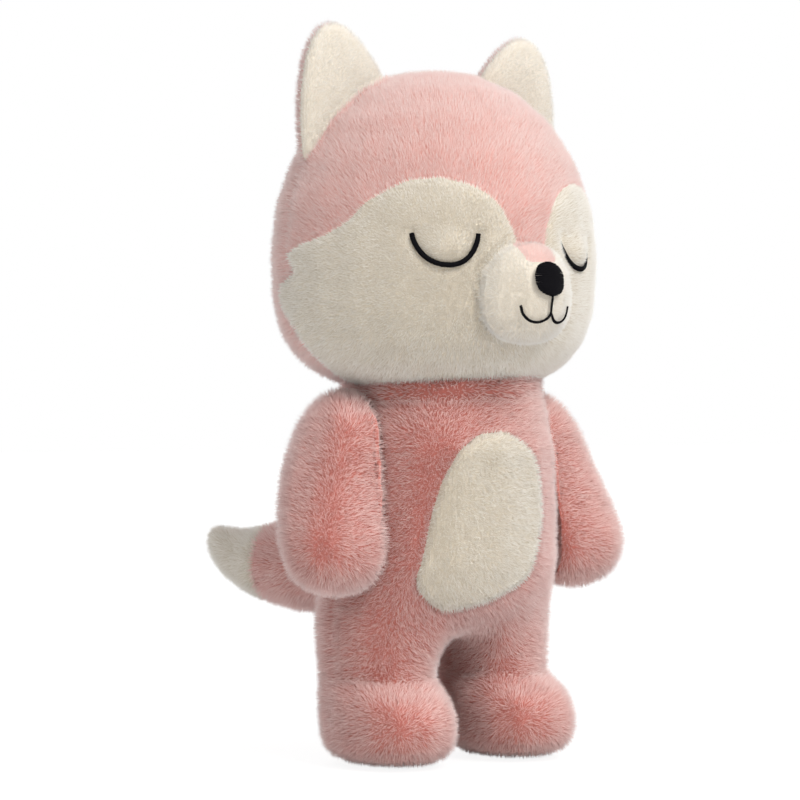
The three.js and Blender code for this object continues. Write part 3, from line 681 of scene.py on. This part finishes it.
def new_tree(name, geometry_name, numbers):
    """A Geometry Nodes tree with a geometry, named numbers, a seed and a finish as inputs."""
    tree = bpy.data.node_groups.new(name, "GeometryNodeTree")
    tree.interface.new_socket("Geometry", in_out="OUTPUT", socket_type="NodeSocketGeometry")
    sockets = {geometry_name: add_input(tree, geometry_name, "NodeSocketGeometry")}
    for label, default in numbers:
        sockets[label] = add_input(tree, label, "NodeSocketFloat", default)
    sockets["Seed"] = add_input(tree, "Seed", "NodeSocketInt", 1)
    sockets["Finish"] = add_input(tree, "Finish", "NodeSocketMaterial")
    return tree, sockets, tree.nodes.new("NodeGroupInput").outputs


print("node helpers ready")

# %% The way each strand points, and its length
def strand_ways(tree, given, place, upright, tuft_place):
    """A strand follows the cloth's own way out, bent to its tuft, its lock and the comb."""
    gather = vector_math(tree, "SUBTRACT", tuft_place, place)
    gather = vector_math(tree, "SCALE", gather,
                         scale=over(tree, given["Gather"], given["Length"]))
    lock = out(add_node(tree, "ShaderNodeTexNoise", Vector=place, Detail=1.0, Roughness=0.5,
                        Scale=over(tree, 1.0, given["Lock size"])), "Color")
    lock = vector_math(tree, "SUBTRACT", lock, (0.5, 0.5, 0.5))
    lock = vector_math(tree, "SCALE", lock, scale=given["Lock lean"])
    own = chance(tree, (-1, -1, -1), (1, 1, 1), given["Seed"], "FLOAT_VECTOR")
    own = vector_math(tree, "SCALE", own, scale=given["Lean"])
    lean = vector_math(tree, "ADD", vector_math(tree, "ADD", lock, own),
                       vector_math(tree, "ADD", gather, kept(tree, "comb", "FLOAT_VECTOR")))
    along = vector_math(tree, "DOT_PRODUCT", lean, upright)
    lean = vector_math(tree, "SUBTRACT", lean, vector_math(tree, "SCALE", upright, scale=along))
    return vector_math(tree, "NORMALIZE", vector_math(tree, "ADD", upright, lean))


def strand_lengths(tree, given, place, way, luck, tuft_luck):
    """Uneven lengths, shorter where the pile is trimmed, and none that reach below the ground."""
    patch = out(add_node(tree, "ShaderNodeTexNoise", Vector=place, Detail=1.0,
                         Scale=over(tree, 0.8, given["Lock size"])), "Fac")
    share = scaled(tree, luck, given["Uneven"], number_math(tree, "SUBTRACT", 1.0, given["Uneven"]))
    share = times(tree, share, scaled(tree, tuft_luck, 0.24, 0.88))
    share = times(tree, share, scaled(tree, patch, 0.3, 0.85))
    length = times(tree, times(tree, share, given["Length"]), kept(tree, "pile"))
    height = out(add_node(tree, "ShaderNodeSeparateXYZ", Vector=place), "Z")
    fall = out(add_node(tree, "ShaderNodeSeparateXYZ", Vector=way), "Z")
    fall = number_math(tree, "MAXIMUM", times(tree, fall, -1.0), 0.05)
    return number_math(tree, "MINIMUM", length, times(tree, over(tree, height, fall), 0.95))


print("strand helpers ready")

# %% The fur tree
def fur_tree():
    tree, sockets, given = new_tree("fur", "Cloth", (
        ("Strands per square metre", 2.0e6), ("Length", 6 * mm), ("Width", 0.4 * mm),
        ("Tuft size", 1.5 * mm), ("Gather", 0.8), ("Lean", 0.08), ("Lock lean", 0.3),
        ("Lock size", 9 * mm), ("Uneven", 0.3), ("Softness", 0.7), ("Backing", 0.8 * mm)))

    # Tufts, a sparse and even set of points, each with its own luck
    tuft_area = number_math(tree, "POWER", given["Tuft size"], 2.0)
    tufts = add_node(tree, "GeometryNodeDistributePointsOnFaces", {"distribute_method": "POISSON"},
                     Mesh=given["Cloth"], Distance_Min=given["Tuft size"],
                     Density_Max=over(tree, 2.5, tuft_area),
                     Seed=plus(tree, given["Seed"], 5))
    tufts = out(tufts, "Points")
    place = out(add_node(tree, "GeometryNodeInputPosition"))
    here = out(add_node(tree, "GeometryNodeSampleNearest", Geometry=tufts, Sample_Position=place))
    tuft_place = out(add_node(tree, "GeometryNodeSampleIndex", {"data_type": "FLOAT_VECTOR"},
                              Geometry=tufts, Value=place, Index=here))
    tuft_luck = out(add_node(tree, "GeometryNodeSampleIndex", {"data_type": "FLOAT"},
                             Geometry=tufts, Index=here,
                             Value=chance(tree, 0.0, 1.0, given["Seed"])))

    # Strands, none where the pile is cut away
    scatter = add_node(tree, "GeometryNodeDistributePointsOnFaces", Mesh=given["Cloth"],
                       Density=times(tree, given["Strands per square metre"], number_math(
                           tree, "MULTIPLY", kept(tree, "pile"), 4.0, clamp=True)),
                       Seed=given["Seed"])
    points = keep(tree, out(scatter, "Points"), "cloth_normal", out(scatter, "Normal"),
                  "FLOAT_VECTOR")
    upright = kept(tree, "cloth_normal", "FLOAT_VECTOR")
    points = keep(tree, points, "tuft_place", tuft_place, "FLOAT_VECTOR")
    points = keep(tree, points, "tuft_luck", tuft_luck)
    luck = chance(tree, 0.0, 1.0, plus(tree, given["Seed"], 7))
    way = strand_ways(tree, given, place, upright, kept(tree, "tuft_place", "FLOAT_VECTOR"))
    length = strand_lengths(tree, given, place, way, luck, kept(tree, "tuft_luck"))

    # Tone: the patch's own shade, the tuft's and a share of luck
    shade = out(add_node(tree, "ShaderNodeTexNoise", Vector=place, Detail=2.0, Roughness=0.6,
                         Scale=over(tree, 0.6, given["Lock size"])), "Fac")
    tone = scaled(tree, shade, 1.1, -0.4)
    tone = plus(tree, tone, times(tree, kept(tree, "tuft_luck"), 0.45))
    tone = number_math(tree, "ADD", tone, times(tree, luck, 0.3), clamp=True)
    points = keep(tree, points, "tone", tone)

    # The spike, with its own place kept so that the chart can be read from it
    turn = add_node(tree, "FunctionNodeAxisAngleToRotation",
                    Angle=chance(tree, 0.0, 2 * math.pi, plus(tree, given["Seed"], 3)))
    aim = add_node(tree, "FunctionNodeAlignRotationToVector", {"axis": "Z"}, Vector=way)
    aim = add_node(tree, "FunctionNodeRotateRotation", {"rotation_space": "LOCAL"},
                   Rotation=out(aim), Rotate_By=out(turn))
    size = add_node(tree, "ShaderNodeCombineXYZ", X=given["Width"], Y=given["Width"], Z=length)
    cone = add_node(tree, "GeometryNodeMeshCone", {"fill_type": "NGON"},
                    Vertices=3, Radius_Top=0.0, Radius_Bottom=0.5, Depth=1.0)
    spike = keep(tree, out(cone, "Mesh"), "spike_place", place, "FLOAT_VECTOR")
    stand = add_node(tree, "GeometryNodeInstanceOnPoints", Points=points, Instance=spike,
                     Rotation=out(aim), Scale=out(size))
    strands = out(add_node(tree, "GeometryNodeRealizeInstances", Geometry=out(stand)))

    # Strands light like the nap they belong to: part of their shading follows the cloth
    mixed = add_node(tree, "ShaderNodeMix", {"data_type": "VECTOR"})
    fill(tree, (mixed.inputs[0], mixed.inputs[4], mixed.inputs[5]),
         (given["Softness"], out(add_node(tree, "GeometryNodeInputNormal")), upright))
    soft = add_node(tree, "GeometryNodeSetMeshNormal", {"mode": "FREE", "domain": "CORNER"},
                    Mesh=strands, Custom_Normal=vector_math(tree, "NORMALIZE", mixed.outputs[1]))

    # The chart place of each strand
    parts = add_node(tree, "ShaderNodeSeparateXYZ",
                     Vector=kept(tree, "spike_place", "FLOAT_VECTOR"))
    chart_x = scaled(tree, kept(tree, "tone"), 0.9, 0.05)
    chart_x = plus(tree, chart_x, times(tree, out(parts, "X"), 0.02))
    chart_y = scaled(tree, out(parts, "Z"), 0.84, 0.1)
    chart_y = plus(tree, chart_y, times(tree, out(parts, "Y"), 0.02))
    chart = out(add_node(tree, "ShaderNodeCombineXYZ", X=chart_x, Y=chart_y))
    strands = keep(tree, out(soft), "OFBake", chart, "FLOAT2", "CORNER")

    # The backing: the cloth itself, a thin closed sheet
    wall = add_node(tree, "GeometryNodeExtrudeMesh", {"mode": "FACES"}, Mesh=given["Cloth"],
                    Offset_Scale=times(tree, given["Backing"], -1.0),
                    Individual=False)
    both = add_node(tree, "GeometryNodeJoinGeometry")
    tree.links.new(out(add_node(tree, "GeometryNodeFlipFaces", Mesh=out(wall, "Mesh"))),
                   both.inputs[0])
    tree.links.new(given["Cloth"], both.inputs[0])
    sheet = add_node(tree, "GeometryNodeMergeByDistance", Geometry=out(both), Distance=0.001 * mm)
    # The backing's chart place lies at the chart's foot, so it takes the roots' colour with its
    # painted shade, dark between the strands.
    patch = out(add_node(tree, "ShaderNodeTexNoise", Vector=place, Scale=430.0), "Color")
    patch = add_node(tree, "ShaderNodeSeparateXYZ", Vector=patch)
    chart = add_node(tree, "ShaderNodeCombineXYZ",
                     X=scaled(tree, out(patch, "X"), 0.9, 0.05),
                     Y=times(tree, out(patch, "Y"), 0.08))
    sheet = keep(tree, out(sheet), "OFBake", out(chart), "FLOAT2", "CORNER")
    all_of_it = add_node(tree, "GeometryNodeJoinGeometry")
    tree.links.new(strands, all_of_it.inputs[0])
    tree.links.new(sheet, all_of_it.inputs[0])
    realised = add_node(tree, "GeometryNodeRealizeInstances", Geometry=out(all_of_it))
    finish = add_node(tree, "GeometryNodeSetMaterial", Geometry=out(realised),
                      Material=given["Finish"])
    last = tree.nodes.new("NodeGroupOutput")
    tree.links.new(out(finish), last.inputs[0])
    return tree, sockets


fur_group, fur_sockets = fur_tree()
print("fur tree:", len(fur_group.nodes), "nodes")

# %% [markdown]
# Finishes. Each fur's colour is painted deepest at its roots, as painted shade for the little light
# that comes out from deep in the pile, and pale at its tips, as painted light where the tips catch
# it. The chart has these two colours at its foot and head, each in a darker and a lighter tone from
# left to right, and the material mixes between them by the UV map.

# %% Fur finishes
def linear(red, green, blue):
    """A colour written as it looks on screen, 0 to 255, as the light values that nodes use."""
    share = [v / 255 for v in (red, green, blue)]
    return [v / 12.92 if v <= 0.04045 else ((v + 0.055) / 1.055) ** 2.4 for v in share] + [1]


def chart_mix(tree, factor, a, b):
    mix = tree.nodes.new("ShaderNodeMix")
    mix.data_type = "RGBA"
    fill(tree, (mix.inputs[0], mix.inputs[6], mix.inputs[7]), (factor, a, b))
    return mix.outputs[2]


def new_finish(name, roughness, specular):
    """A material, its node tree and its surface node."""
    finish = bpy.data.materials.new(name)
    finish.use_nodes = True
    surface = finish.node_tree.nodes["Principled BSDF"]
    surface.inputs["Roughness"].default_value = roughness
    surface.inputs["Specular IOR Level"].default_value = specular
    return finish, finish.node_tree, surface


def fur_finish(name, root_dark, root_light, tip_dark, tip_light, rise=0.8, sheen=0.5):
    finish, tree, surface = new_finish(name, roughness=0.85, specular=0.2)
    chart = tree.nodes.new("ShaderNodeUVMap")
    chart.uv_map = "OFBake"
    place = add_node(tree, "ShaderNodeSeparateXYZ", Vector=chart.outputs[0])
    # The root colours are painted shade and the tip colours painted light; the height up the strand
    # mixes them.
    root = chart_mix(tree, out(place, "X"), linear(*root_dark), linear(*root_light))
    tip = chart_mix(tree, out(place, "X"), linear(*tip_dark), linear(*tip_light))
    height = number_math(tree, "POWER", number_math(tree, "MAXIMUM", out(place, "Y"), 0.0), rise)
    tree.links.new(chart_mix(tree, height, root, tip), surface.inputs["Base Color"])
    surface.inputs["Sheen Weight"].default_value = sheen
    surface.inputs["Sheen Roughness"].default_value = 0.5
    return finish


# Each fur: roots in painted shade, in a dark and a light tone, then tips in painted light, in a
# dark and a light tone.
pink_pile = fur_finish("pink_pile", (192, 100, 88), (216, 132, 118),
                       (247, 212, 206), (255, 238, 234), rise=0.85, sheen=0.6)
pink_crown_pile = fur_finish("pink_crown_pile", (226, 157, 145), (234, 173, 163),
                             (241, 213, 207), (244, 230, 226))
light_pink_pile = fur_finish("light_pink_pile", (232, 190, 181), (237, 198, 190),
                             (241, 214, 207), (244, 224, 218))
cream_pile = fur_finish("cream_pile", (190, 174, 148), (228, 218, 200),
                        (249, 243, 233), (255, 253, 248), rise=0.7)
white_pile = fur_finish("white_pile", (214, 201, 180), (238, 229, 214),
                        (251, 246, 238), (255, 254, 250), rise=0.7)
print("finishes:", [m.name for m in bpy.data.materials if m.name.endswith("_pile")])

# %% [markdown]
# How the pile lies. Two values ride on each cloth: comb, the way a hand has stroked the pile,
# and pile, the share of its length that is left. The pile is trimmed short round the stitching
# of the face and pushed aside by it.

# %% Comb and trim the pile
def store(mesh, name, kind, values):
    attribute = mesh.attributes.new(name, kind, "POINT")
    attribute.data.foreach_set("vector" if kind == "FLOAT_VECTOR" else "value",
                               values.astype(np.float32).ravel())


stitched = [(line, 1.1 * mm, 3.6 * mm) for line in lids.values()]
stitched += [(line, 0.5 * mm, 2.6 * mm) for line in mouth_lines]
nose_half = np.array([nose_high[0], nose_middle, (nose_high[2] - nose_low[2]) / 2])


def seen(panel, places):
    """1 where a panel's pile can be seen, 0 where neck and head hide each other."""
    if panel == "neck_roll":
        return places[:, 2] < neck_high[2] + 3 * mm
    if panel.startswith(("face_", "head_")):
        out_from_axis = np.hypot(places[:, 0], places[:, 1] - body_axis.y)
        return (out_from_axis > neck_high[0] - 9 * mm) | (places[:, 2] > neck_high[2] + 30 * mm)
    return np.ones(len(places))


def groom(panel, mesh, comb):
    places = places_of(mesh)
    near_stitches = panel.startswith(("face_", "muzzle_"))
    lay = comb(places) if callable(comb) else np.tile(np.array(comb, dtype=float), (len(places), 1))
    pile = seen(panel, places).astype(float)
    if near_stitches:
        for line, bare, reach in stitched:
            points = np.array([p for p, _ in line])
            apart = places[:, None, :] - points[None]
            far = np.sqrt((apart ** 2).sum(axis=2))
            nearest = far.argmin(axis=1)
            away = apart[np.arange(len(places)), nearest]
            far = far.min(axis=1)
            close = fall_off(np.maximum(far - bare, 0), reach - bare)
            pile *= 1 - 0.6 * close
            lay += away / np.maximum(far, 0.1 * mm)[:, None] * (0.5 * close)[:, None]
        oval = np.sqrt((places[:, 0] / nose_half[0]) ** 2
                       + ((places[:, 2] - nose_half[1]) / nose_half[2]) ** 2)
        pile *= np.clip((oval - 0.98) / 0.3, 0, 1)
    store(mesh, "pile", "FLOAT", pile)
    store(mesh, "comb", "FLOAT_VECTOR", lay)


def away_from_muzzle(places):
    apart = places - np.array([0, nose_low[1] + 20 * mm, muzzle_middle])
    return 0.35 * apart / np.linalg.norm(apart, axis=1)[:, None]


print("stitched lines:", len(stitched))

# %% Grow the fur on each panel
total_triangles = 0


def grow(panel, finish, body, density, length, width, comb=(0, 0, -0.1), **options):
    """Turn a panel's cloth into its furred piece, under the panel's name without 'panel'.
    The density is in strands to a square millimetre, the length and the width in mm."""
    global total_triangles
    slot, usual = cloth_kinds[finish.name]
    piece = cloth[panel]
    piece.name = panel.replace("_panel", "") + "_fur"
    groom(panel, piece.data, comb)
    fur = piece.modifiers.new("fur", "NODES")
    fur.node_group = fur_group
    values = {"Strands per square metre": density * 1e6, "Length": length * mm,
              "Width": width * mm, "Seed": sum(map(ord, panel)), "Finish": finish}
    values.update({key.replace("_", " ").capitalize(): v
                   for key, v in {**usual, **options}.items()})
    for key, value in values.items():
        fur[fur_sockets[key]] = value
    settled(piece)
    if not piece.data.materials:
        piece.data.materials.append(finish)
    drop_attributes(piece.data, "tone", "spike_place", "cloth_normal", "tuft_place", "tuft_luck",
                    "pile", "comb")
    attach(piece, body)
    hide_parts(panel)
    triangles = sum(len(p.vertices) - 2 for p in piece.data.polygons)
    total_triangles += triangles
    print(piece.name, triangles, "triangles")


velvet = {"tuft_size": 0.9 * mm, "gather": 0.35, "lean": 0.3, "lock_size": 6 * mm,
          "lock_lean": 0.4, "uneven": 0.4, "softness": 0.8}
fur = {"tuft_size": 1.3 * mm, "gather": 0.35, "lean": 0.28, "lock_size": 9 * mm,
       "lock_lean": 0.45, "softness": 0.8}
cloth_kinds = {"pink_pile": ("pink_fur", fur), "pink_crown_pile": ("pink_fur", fur),
               "cream_pile": ("cream_velvet", velvet), "white_pile": ("cream_velvet", velvet),
               "light_pink_pile": ("light_pink_velvet", velvet)}
for side, sign in both_sides:
    for half, density, width in (("outer", 2.9, 0.27), ("inner", 2.3, 0.33)):
        grow(f"arm_{half}_panel_{side}", pink_pile, "arm_" + side, density, 5.8, width)
    grow("foot_upper_" + side, pink_pile, "torso", 2.5, 5.6, 0.305)
    grow("foot_sole_" + side, pink_pile, "torso", 1.5, 3.6, 0.36)
    grow("body_back_panel_" + side, pink_pile, "torso", 1.3, 6.0, 0.46)
    grow("head_back_panel_" + side, pink_crown_pile, "head", 1.2, 5.2, 0.5, (0, 0.1, -0.1))
    grow("face_panel_" + side, cream_pile, "head", 2.6, 3.0, 0.34, away_from_muzzle)
    grow("ear_front_panel_" + side, white_pile, "head", 3.0, 2.5, 0.3, (0, 0, 0.3))
    grow("ear_back_panel_" + side, pink_crown_pile, "head", 2.8, 3.6, 0.32, (sign * 0.1, 0, 0.3))
grow("body_front_panel", pink_pile, "torso", 2.5, 5.8, 0.31)
grow("belly_patch", cream_pile, "torso", 2.8, 3.4, 0.31)
grow("head_crown_panel", pink_crown_pile, "head", 2.7, 4.4, 0.31, (0, 0.25, 0.45),
     tuft_size=1.0 * mm)
grow("muzzle_panel", white_pile, "head", 3.4, 2.3, 0.28, away_from_muzzle)
grow("muzzle_bridge_panel", light_pink_pile, "head", 3.4, 2.3, 0.28, (0, 0, 0.4))
grow("tail_base_panel", pink_pile, "tail", 2.0, 5.6, 0.39, (0, 0.3, 0))
grow("tail_tip_panel", cream_pile, "tail", 2.6, 4.0, 0.33, (0, 0.3, 0))
grow("neck_roll", pink_pile, "neck", 0.8, 6.0, 0.67)
print("fur in all:", total_triangles, "triangles")

# %% [markdown]
# Inside the skins nothing shows, so the filling and the other solids under the furred pieces are
# hidden.

# %% Set the inner solids aside
def cover(piece_name, *nodes):
    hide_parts(*nodes)


cover("head_crown_fur", "head_stuffing")
cover("muzzle_fur", "muzzle_stuffing")
cover("body_front_fur", "body_stuffing")
cover("tail_base_fur", "tail_stuffing")
for side, _ in both_sides:
    cover(f"arm_outer_{side}_fur", "arm_stuffing_" + side)
    cover(f"foot_upper_{side}_fur", "foot_stuffing_" + side, "foot_insole_" + side,
          "foot_pellet_bag_" + side)

# %% [markdown]
# Satin stitch. The nose, the mouth and the lids are embroidered: thread laid side by side
# across a line, each a low arch from one edge to the other. One tree makes them all. It walks
# along a path, stands an arch across it at every stitch, and gives the arches a thread's
# thickness. The path carries how wide and how high the arch is at each place.

# %% The satin stitch tree
def satin_tree():
    tree, sockets, given = new_tree("satin stitch", "Path", (
        ("Pitch", 0.4 * mm), ("Thread radius", 0.24 * mm), ("Jitter", 0.05)))
    line = add_node(tree, "GeometryNodeMeshToCurve", Mesh=given["Path"])
    stitches = add_node(tree, "GeometryNodeResampleCurve", {"mode": "LENGTH"},
                        Curve=out(line), Length=given["Pitch"])
    aim = add_node(tree, "FunctionNodeAlignRotationToVector", {"axis": "Z"},
                   Vector=kept(tree, "cloth_normal", "FLOAT_VECTOR"))
    aim = add_node(tree, "FunctionNodeAlignRotationToVector", {"axis": "X", "pivot_axis": "Z"},
                   Rotation=out(aim), Vector=out(add_node(tree, "GeometryNodeInputTangent")))
    sway = chance(tree, -1.0, 1.0, given["Seed"])
    sway = add_node(tree, "FunctionNodeAxisAngleToRotation",
                    Angle=times(tree, sway, given["Jitter"]))
    aim = add_node(tree, "FunctionNodeRotateRotation", {"rotation_space": "LOCAL"},
                   Rotation=out(aim), Rotate_By=out(sway))
    uneven = chance(tree, -1.0, 1.0, plus(tree, given["Seed"], 3))
    uneven = scaled(tree, uneven, given["Jitter"], 1.0)
    size = add_node(tree, "ShaderNodeCombineXYZ", X=1.0, Z=kept(tree, "arch"),
                    Y=times(tree, kept(tree, "half_width"), uneven))
    arch = add_node(tree, "GeometryNodeCurveQuadraticBezier", Resolution=7, Start=(0, -1, 0),
                    Middle=(0, 0, 2), End=(0, 1, 0))
    laid = add_node(tree, "GeometryNodeInstanceOnPoints", Points=out(stitches),
                    Instance=out(arch), Rotation=out(aim), Scale=out(size))
    laid = add_node(tree, "GeometryNodeRealizeInstances", Geometry=out(laid))
    section = add_node(tree, "GeometryNodeCurvePrimitiveCircle", Resolution=5,
                       Radius=given["Thread radius"])
    thread = add_node(tree, "GeometryNodeCurveToMesh", Curve=out(laid),
                      Profile_Curve=out(section), Fill_Caps=True)
    finish = add_node(tree, "GeometryNodeSetMaterial", Geometry=out(thread),
                      Material=given["Finish"])
    last = tree.nodes.new("NodeGroupOutput")
    tree.links.new(out(finish), last.inputs[0])
    return tree, sockets


satin_group, satin_sockets = satin_tree()


def thread_finish(name, dark, light):
    """Thread: a slight change of shade from stitch to stitch, and hardly any gloss."""
    finish, tree, surface = new_finish(name, roughness=0.75, specular=0.08)
    place = tree.nodes.new("ShaderNodeTexCoord").outputs["Object"]
    shade = out(add_node(tree, "ShaderNodeTexNoise", Vector=place, Scale=1400.0, Detail=1.0), "Fac")
    tree.links.new(chart_mix(tree, shade, linear(*dark), linear(*light)),
                   surface.inputs["Base Color"])
    return finish


black_satin = thread_finish("black_satin", (6, 6, 9), (15, 13, 18))
print("satin tree:", len(satin_group.nodes), "nodes")

# %% Embroider the face
def embroider(name, lines, node, pitch, radius, jitter=0.05):
    """Lines are lists of (place, outward way, half width, arch), in metres."""
    mesh = bpy.data.meshes.new(name)
    rows = [row for line in lines for row in line]
    edges, start = [], 0
    for line in lines:
        edges += [(start + k, start + k + 1) for k in range(len(line) - 1)]
        start += len(line)
    mesh.from_pydata([tuple(row[0]) for row in rows], edges, [])
    for column, label, kind in ((1, "cloth_normal", "FLOAT_VECTOR"), (2, "half_width", "FLOAT"),
                                (3, "arch", "FLOAT")):
        store(mesh, label, kind, np.array([row[column] for row in rows]))
    piece = new_object(name, mesh)
    stitch = piece.modifiers.new("stitch", "NODES")
    stitch.node_group = satin_group
    for key, value in {"Pitch": pitch, "Thread radius": radius, "Jitter": jitter, "Seed": 4,
                       "Finish": black_satin}.items():
        stitch[satin_sockets[key]] = value
    settled(piece)
    piece.data.shade_smooth()
    if not piece.data.materials:
        piece.data.materials.append(black_satin)
    drop_attributes(piece.data, "cloth_normal", "half_width", "arch")
    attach(piece, "head")
    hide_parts(node)
    print(name, len(piece.data.polygons), "faces")


def evened(values, passes, weight):
    """Even out a row of values: each becomes a mean with its neighbours, its own by weight."""
    for _ in range(passes):
        padded = np.concatenate([values[:1], values, values[-1:]])
        values = (padded[:-2] + weight * padded[1:-1] + padded[2:]) / (2 + weight)
    return values


def even_ways(line):
    """Smooth the outward ways along a line."""
    ways = evened(np.array([way for _, way in line]), 4, 1)
    return ways / np.linalg.norm(ways, axis=1)[:, None]


def satin_line(line, half_width, arch, lift, sink=0.0):
    """Turn a line on the cloth into a row of stitches above it, whose ends sink in the pile."""
    rows = []
    for k, ((place, _), way) in enumerate(zip(line, even_ways(line))):
        along = k / (len(line) - 1)
        deep = sink * (2 * along - 1) ** 2
        rows.append((place + way * (lift - deep - arch / 2), way, half_width, arch))
    return rows


lid_sink = {"left": 3.4 * mm, "right": 0.3 * mm}  # the far lid's ends lie under its pile
for side, _ in both_sides:
    embroider("eye_satin_" + side, [satin_line(lids[side], lid_half_width, 1.0 * mm, 2.4 * mm,
                                               lid_sink[side])],
              "eye_stitching_" + side, 0.36 * mm, 0.24 * mm, 0.08)
embroider("mouth_satin", [satin_line(line, mouth_half_width, 0.6 * mm, 1.9 * mm)
                          for line in mouth_lines], "mouth_stitching", 0.34 * mm, 0.2 * mm, 0.15)

# %% Embroider the nose
nose_rows = []
nose_width, nose_tall = nose_half[0], nose_half[2]
nose_round = 2.3  # how round the oval is: 2 is an ellipse, more is squarer
nose_lift = 3.3 * mm
shares = np.linspace(-0.985, 0.985, 25)
heights = nose_middle + shares * nose_tall
halves = nose_width * (1 - np.abs(shares) ** nose_round) ** (1 / nose_round)
ridges = np.array([from_the_front(head_tree, 0, height)[0][1] for height in heights])
flanks = np.array([from_the_front(head_tree, half, height)[0][1]
                   for half, height in zip(halves, heights)])
forwards = np.array([0, -1, 0])
for height, half, ridge, flank in zip(heights, halves, evened(ridges, 6, 2), evened(flanks, 6, 2)):
    sag = max(flank - ridge, 0) * 0.85 + 0.7 * mm
    nose_rows.append((np.array([0, ridge + sag - nose_lift, height]), forwards, half, sag))
embroider("nose_satin", [nose_rows], "nose", 0.36 * mm, 0.27 * mm, 0.03)

# %% [markdown]
# A plain studio. One light comes from the upper right of the picture, a very broad one from
# overhead lets the head shade the chest, one from behind keeps the back from going dull, and
# the world gives the rest. The world and the floor are white to the camera by themselves, so
# the background needs no more light on the fox, and the floor keeps the fox's shadow.

# %% Floor and light
def sun(name, strength, colour, direction, spread):
    """A light from a direction, as wide in the sky as its spread in degrees."""
    lamp = bpy.data.lights.new(name, "SUN")
    lamp.energy = strength
    lamp.color = colour
    lamp.angle = math.radians(spread)
    new_object(name, lamp).rotation_euler = (-direction).to_track_quat("-Z", "Y").to_euler()


up = Vector((0, 0, 1))
key_from = (picture_right * 0.5 + towards_camera * 0.62 + up * 0.75).normalized()
sun("key", 1.85, (1, 0.99, 0.97), key_from, 22)
sun("behind", 1.0, (1, 1, 1), (up * 0.5 - towards_camera).normalized(), 70)
sun("overhead", 0.85, (1, 1, 1), (towards_camera * 0.25 + up).normalized(), 90)


def seen_directly(tree):
    """1 for the rays that show the background itself: camera, mirror and glass rays."""
    ray = tree.nodes.new("ShaderNodeLightPath")
    seen = number_math(tree, "MAXIMUM", ray.outputs["Is Camera Ray"], ray.outputs["Is Glossy Ray"])
    return number_math(tree, "MAXIMUM", seen, ray.outputs["Is Transmission Ray"])


def mixed_shader(tree, factor, a, b):
    mix = tree.nodes.new("ShaderNodeMixShader")
    fill(tree, mix.inputs, (factor, a, b))
    return mix.outputs[0]


world = bpy.data.worlds.new("studio")
world.use_nodes = True
bpy.context.scene.world = world
tree = world.node_tree
tree.nodes.clear()
ambient = add_node(tree, "ShaderNodeBackground", Color=(1, 1, 1, 1), Strength=0.57)
white = add_node(tree, "ShaderNodeBackground", Color=(1, 1, 1, 1), Strength=1.0)
last = tree.nodes.new("ShaderNodeOutputWorld")
tree.links.new(mixed_shader(tree, seen_directly(tree), out(ambient), out(white)), last.inputs[0])

floor_mesh = bpy.data.meshes.new("floor")
reach = 8.0
floor_mesh.from_pydata([(-reach, -reach, 0), (reach, -reach, 0), (reach, reach, 0),
                        (-reach, reach, 0)], [], [(0, 1, 2, 3)])
floor = new_object("floor", floor_mesh)
floor_finish, tree, paint = new_finish("pale_floor", roughness=1.0, specular=0.0)
paint.inputs["Base Color"].default_value = (0.9, 0.9, 0.9, 1)
glow = add_node(tree, "ShaderNodeEmission", Color=(1, 1, 1, 1), Strength=1.06)
glow_share = 0.85  # of what the camera sees; the rest is the paint, which shows the shadow
glowing = times(tree, seen_directly(tree), glow_share)
tree.links.new(mixed_shader(tree, glowing, out(paint), out(glow)),
               tree.nodes["Material Output"].inputs[0])
floor.data.materials.append(floor_finish)

bpy.context.scene.view_settings.view_transform = "Standard"
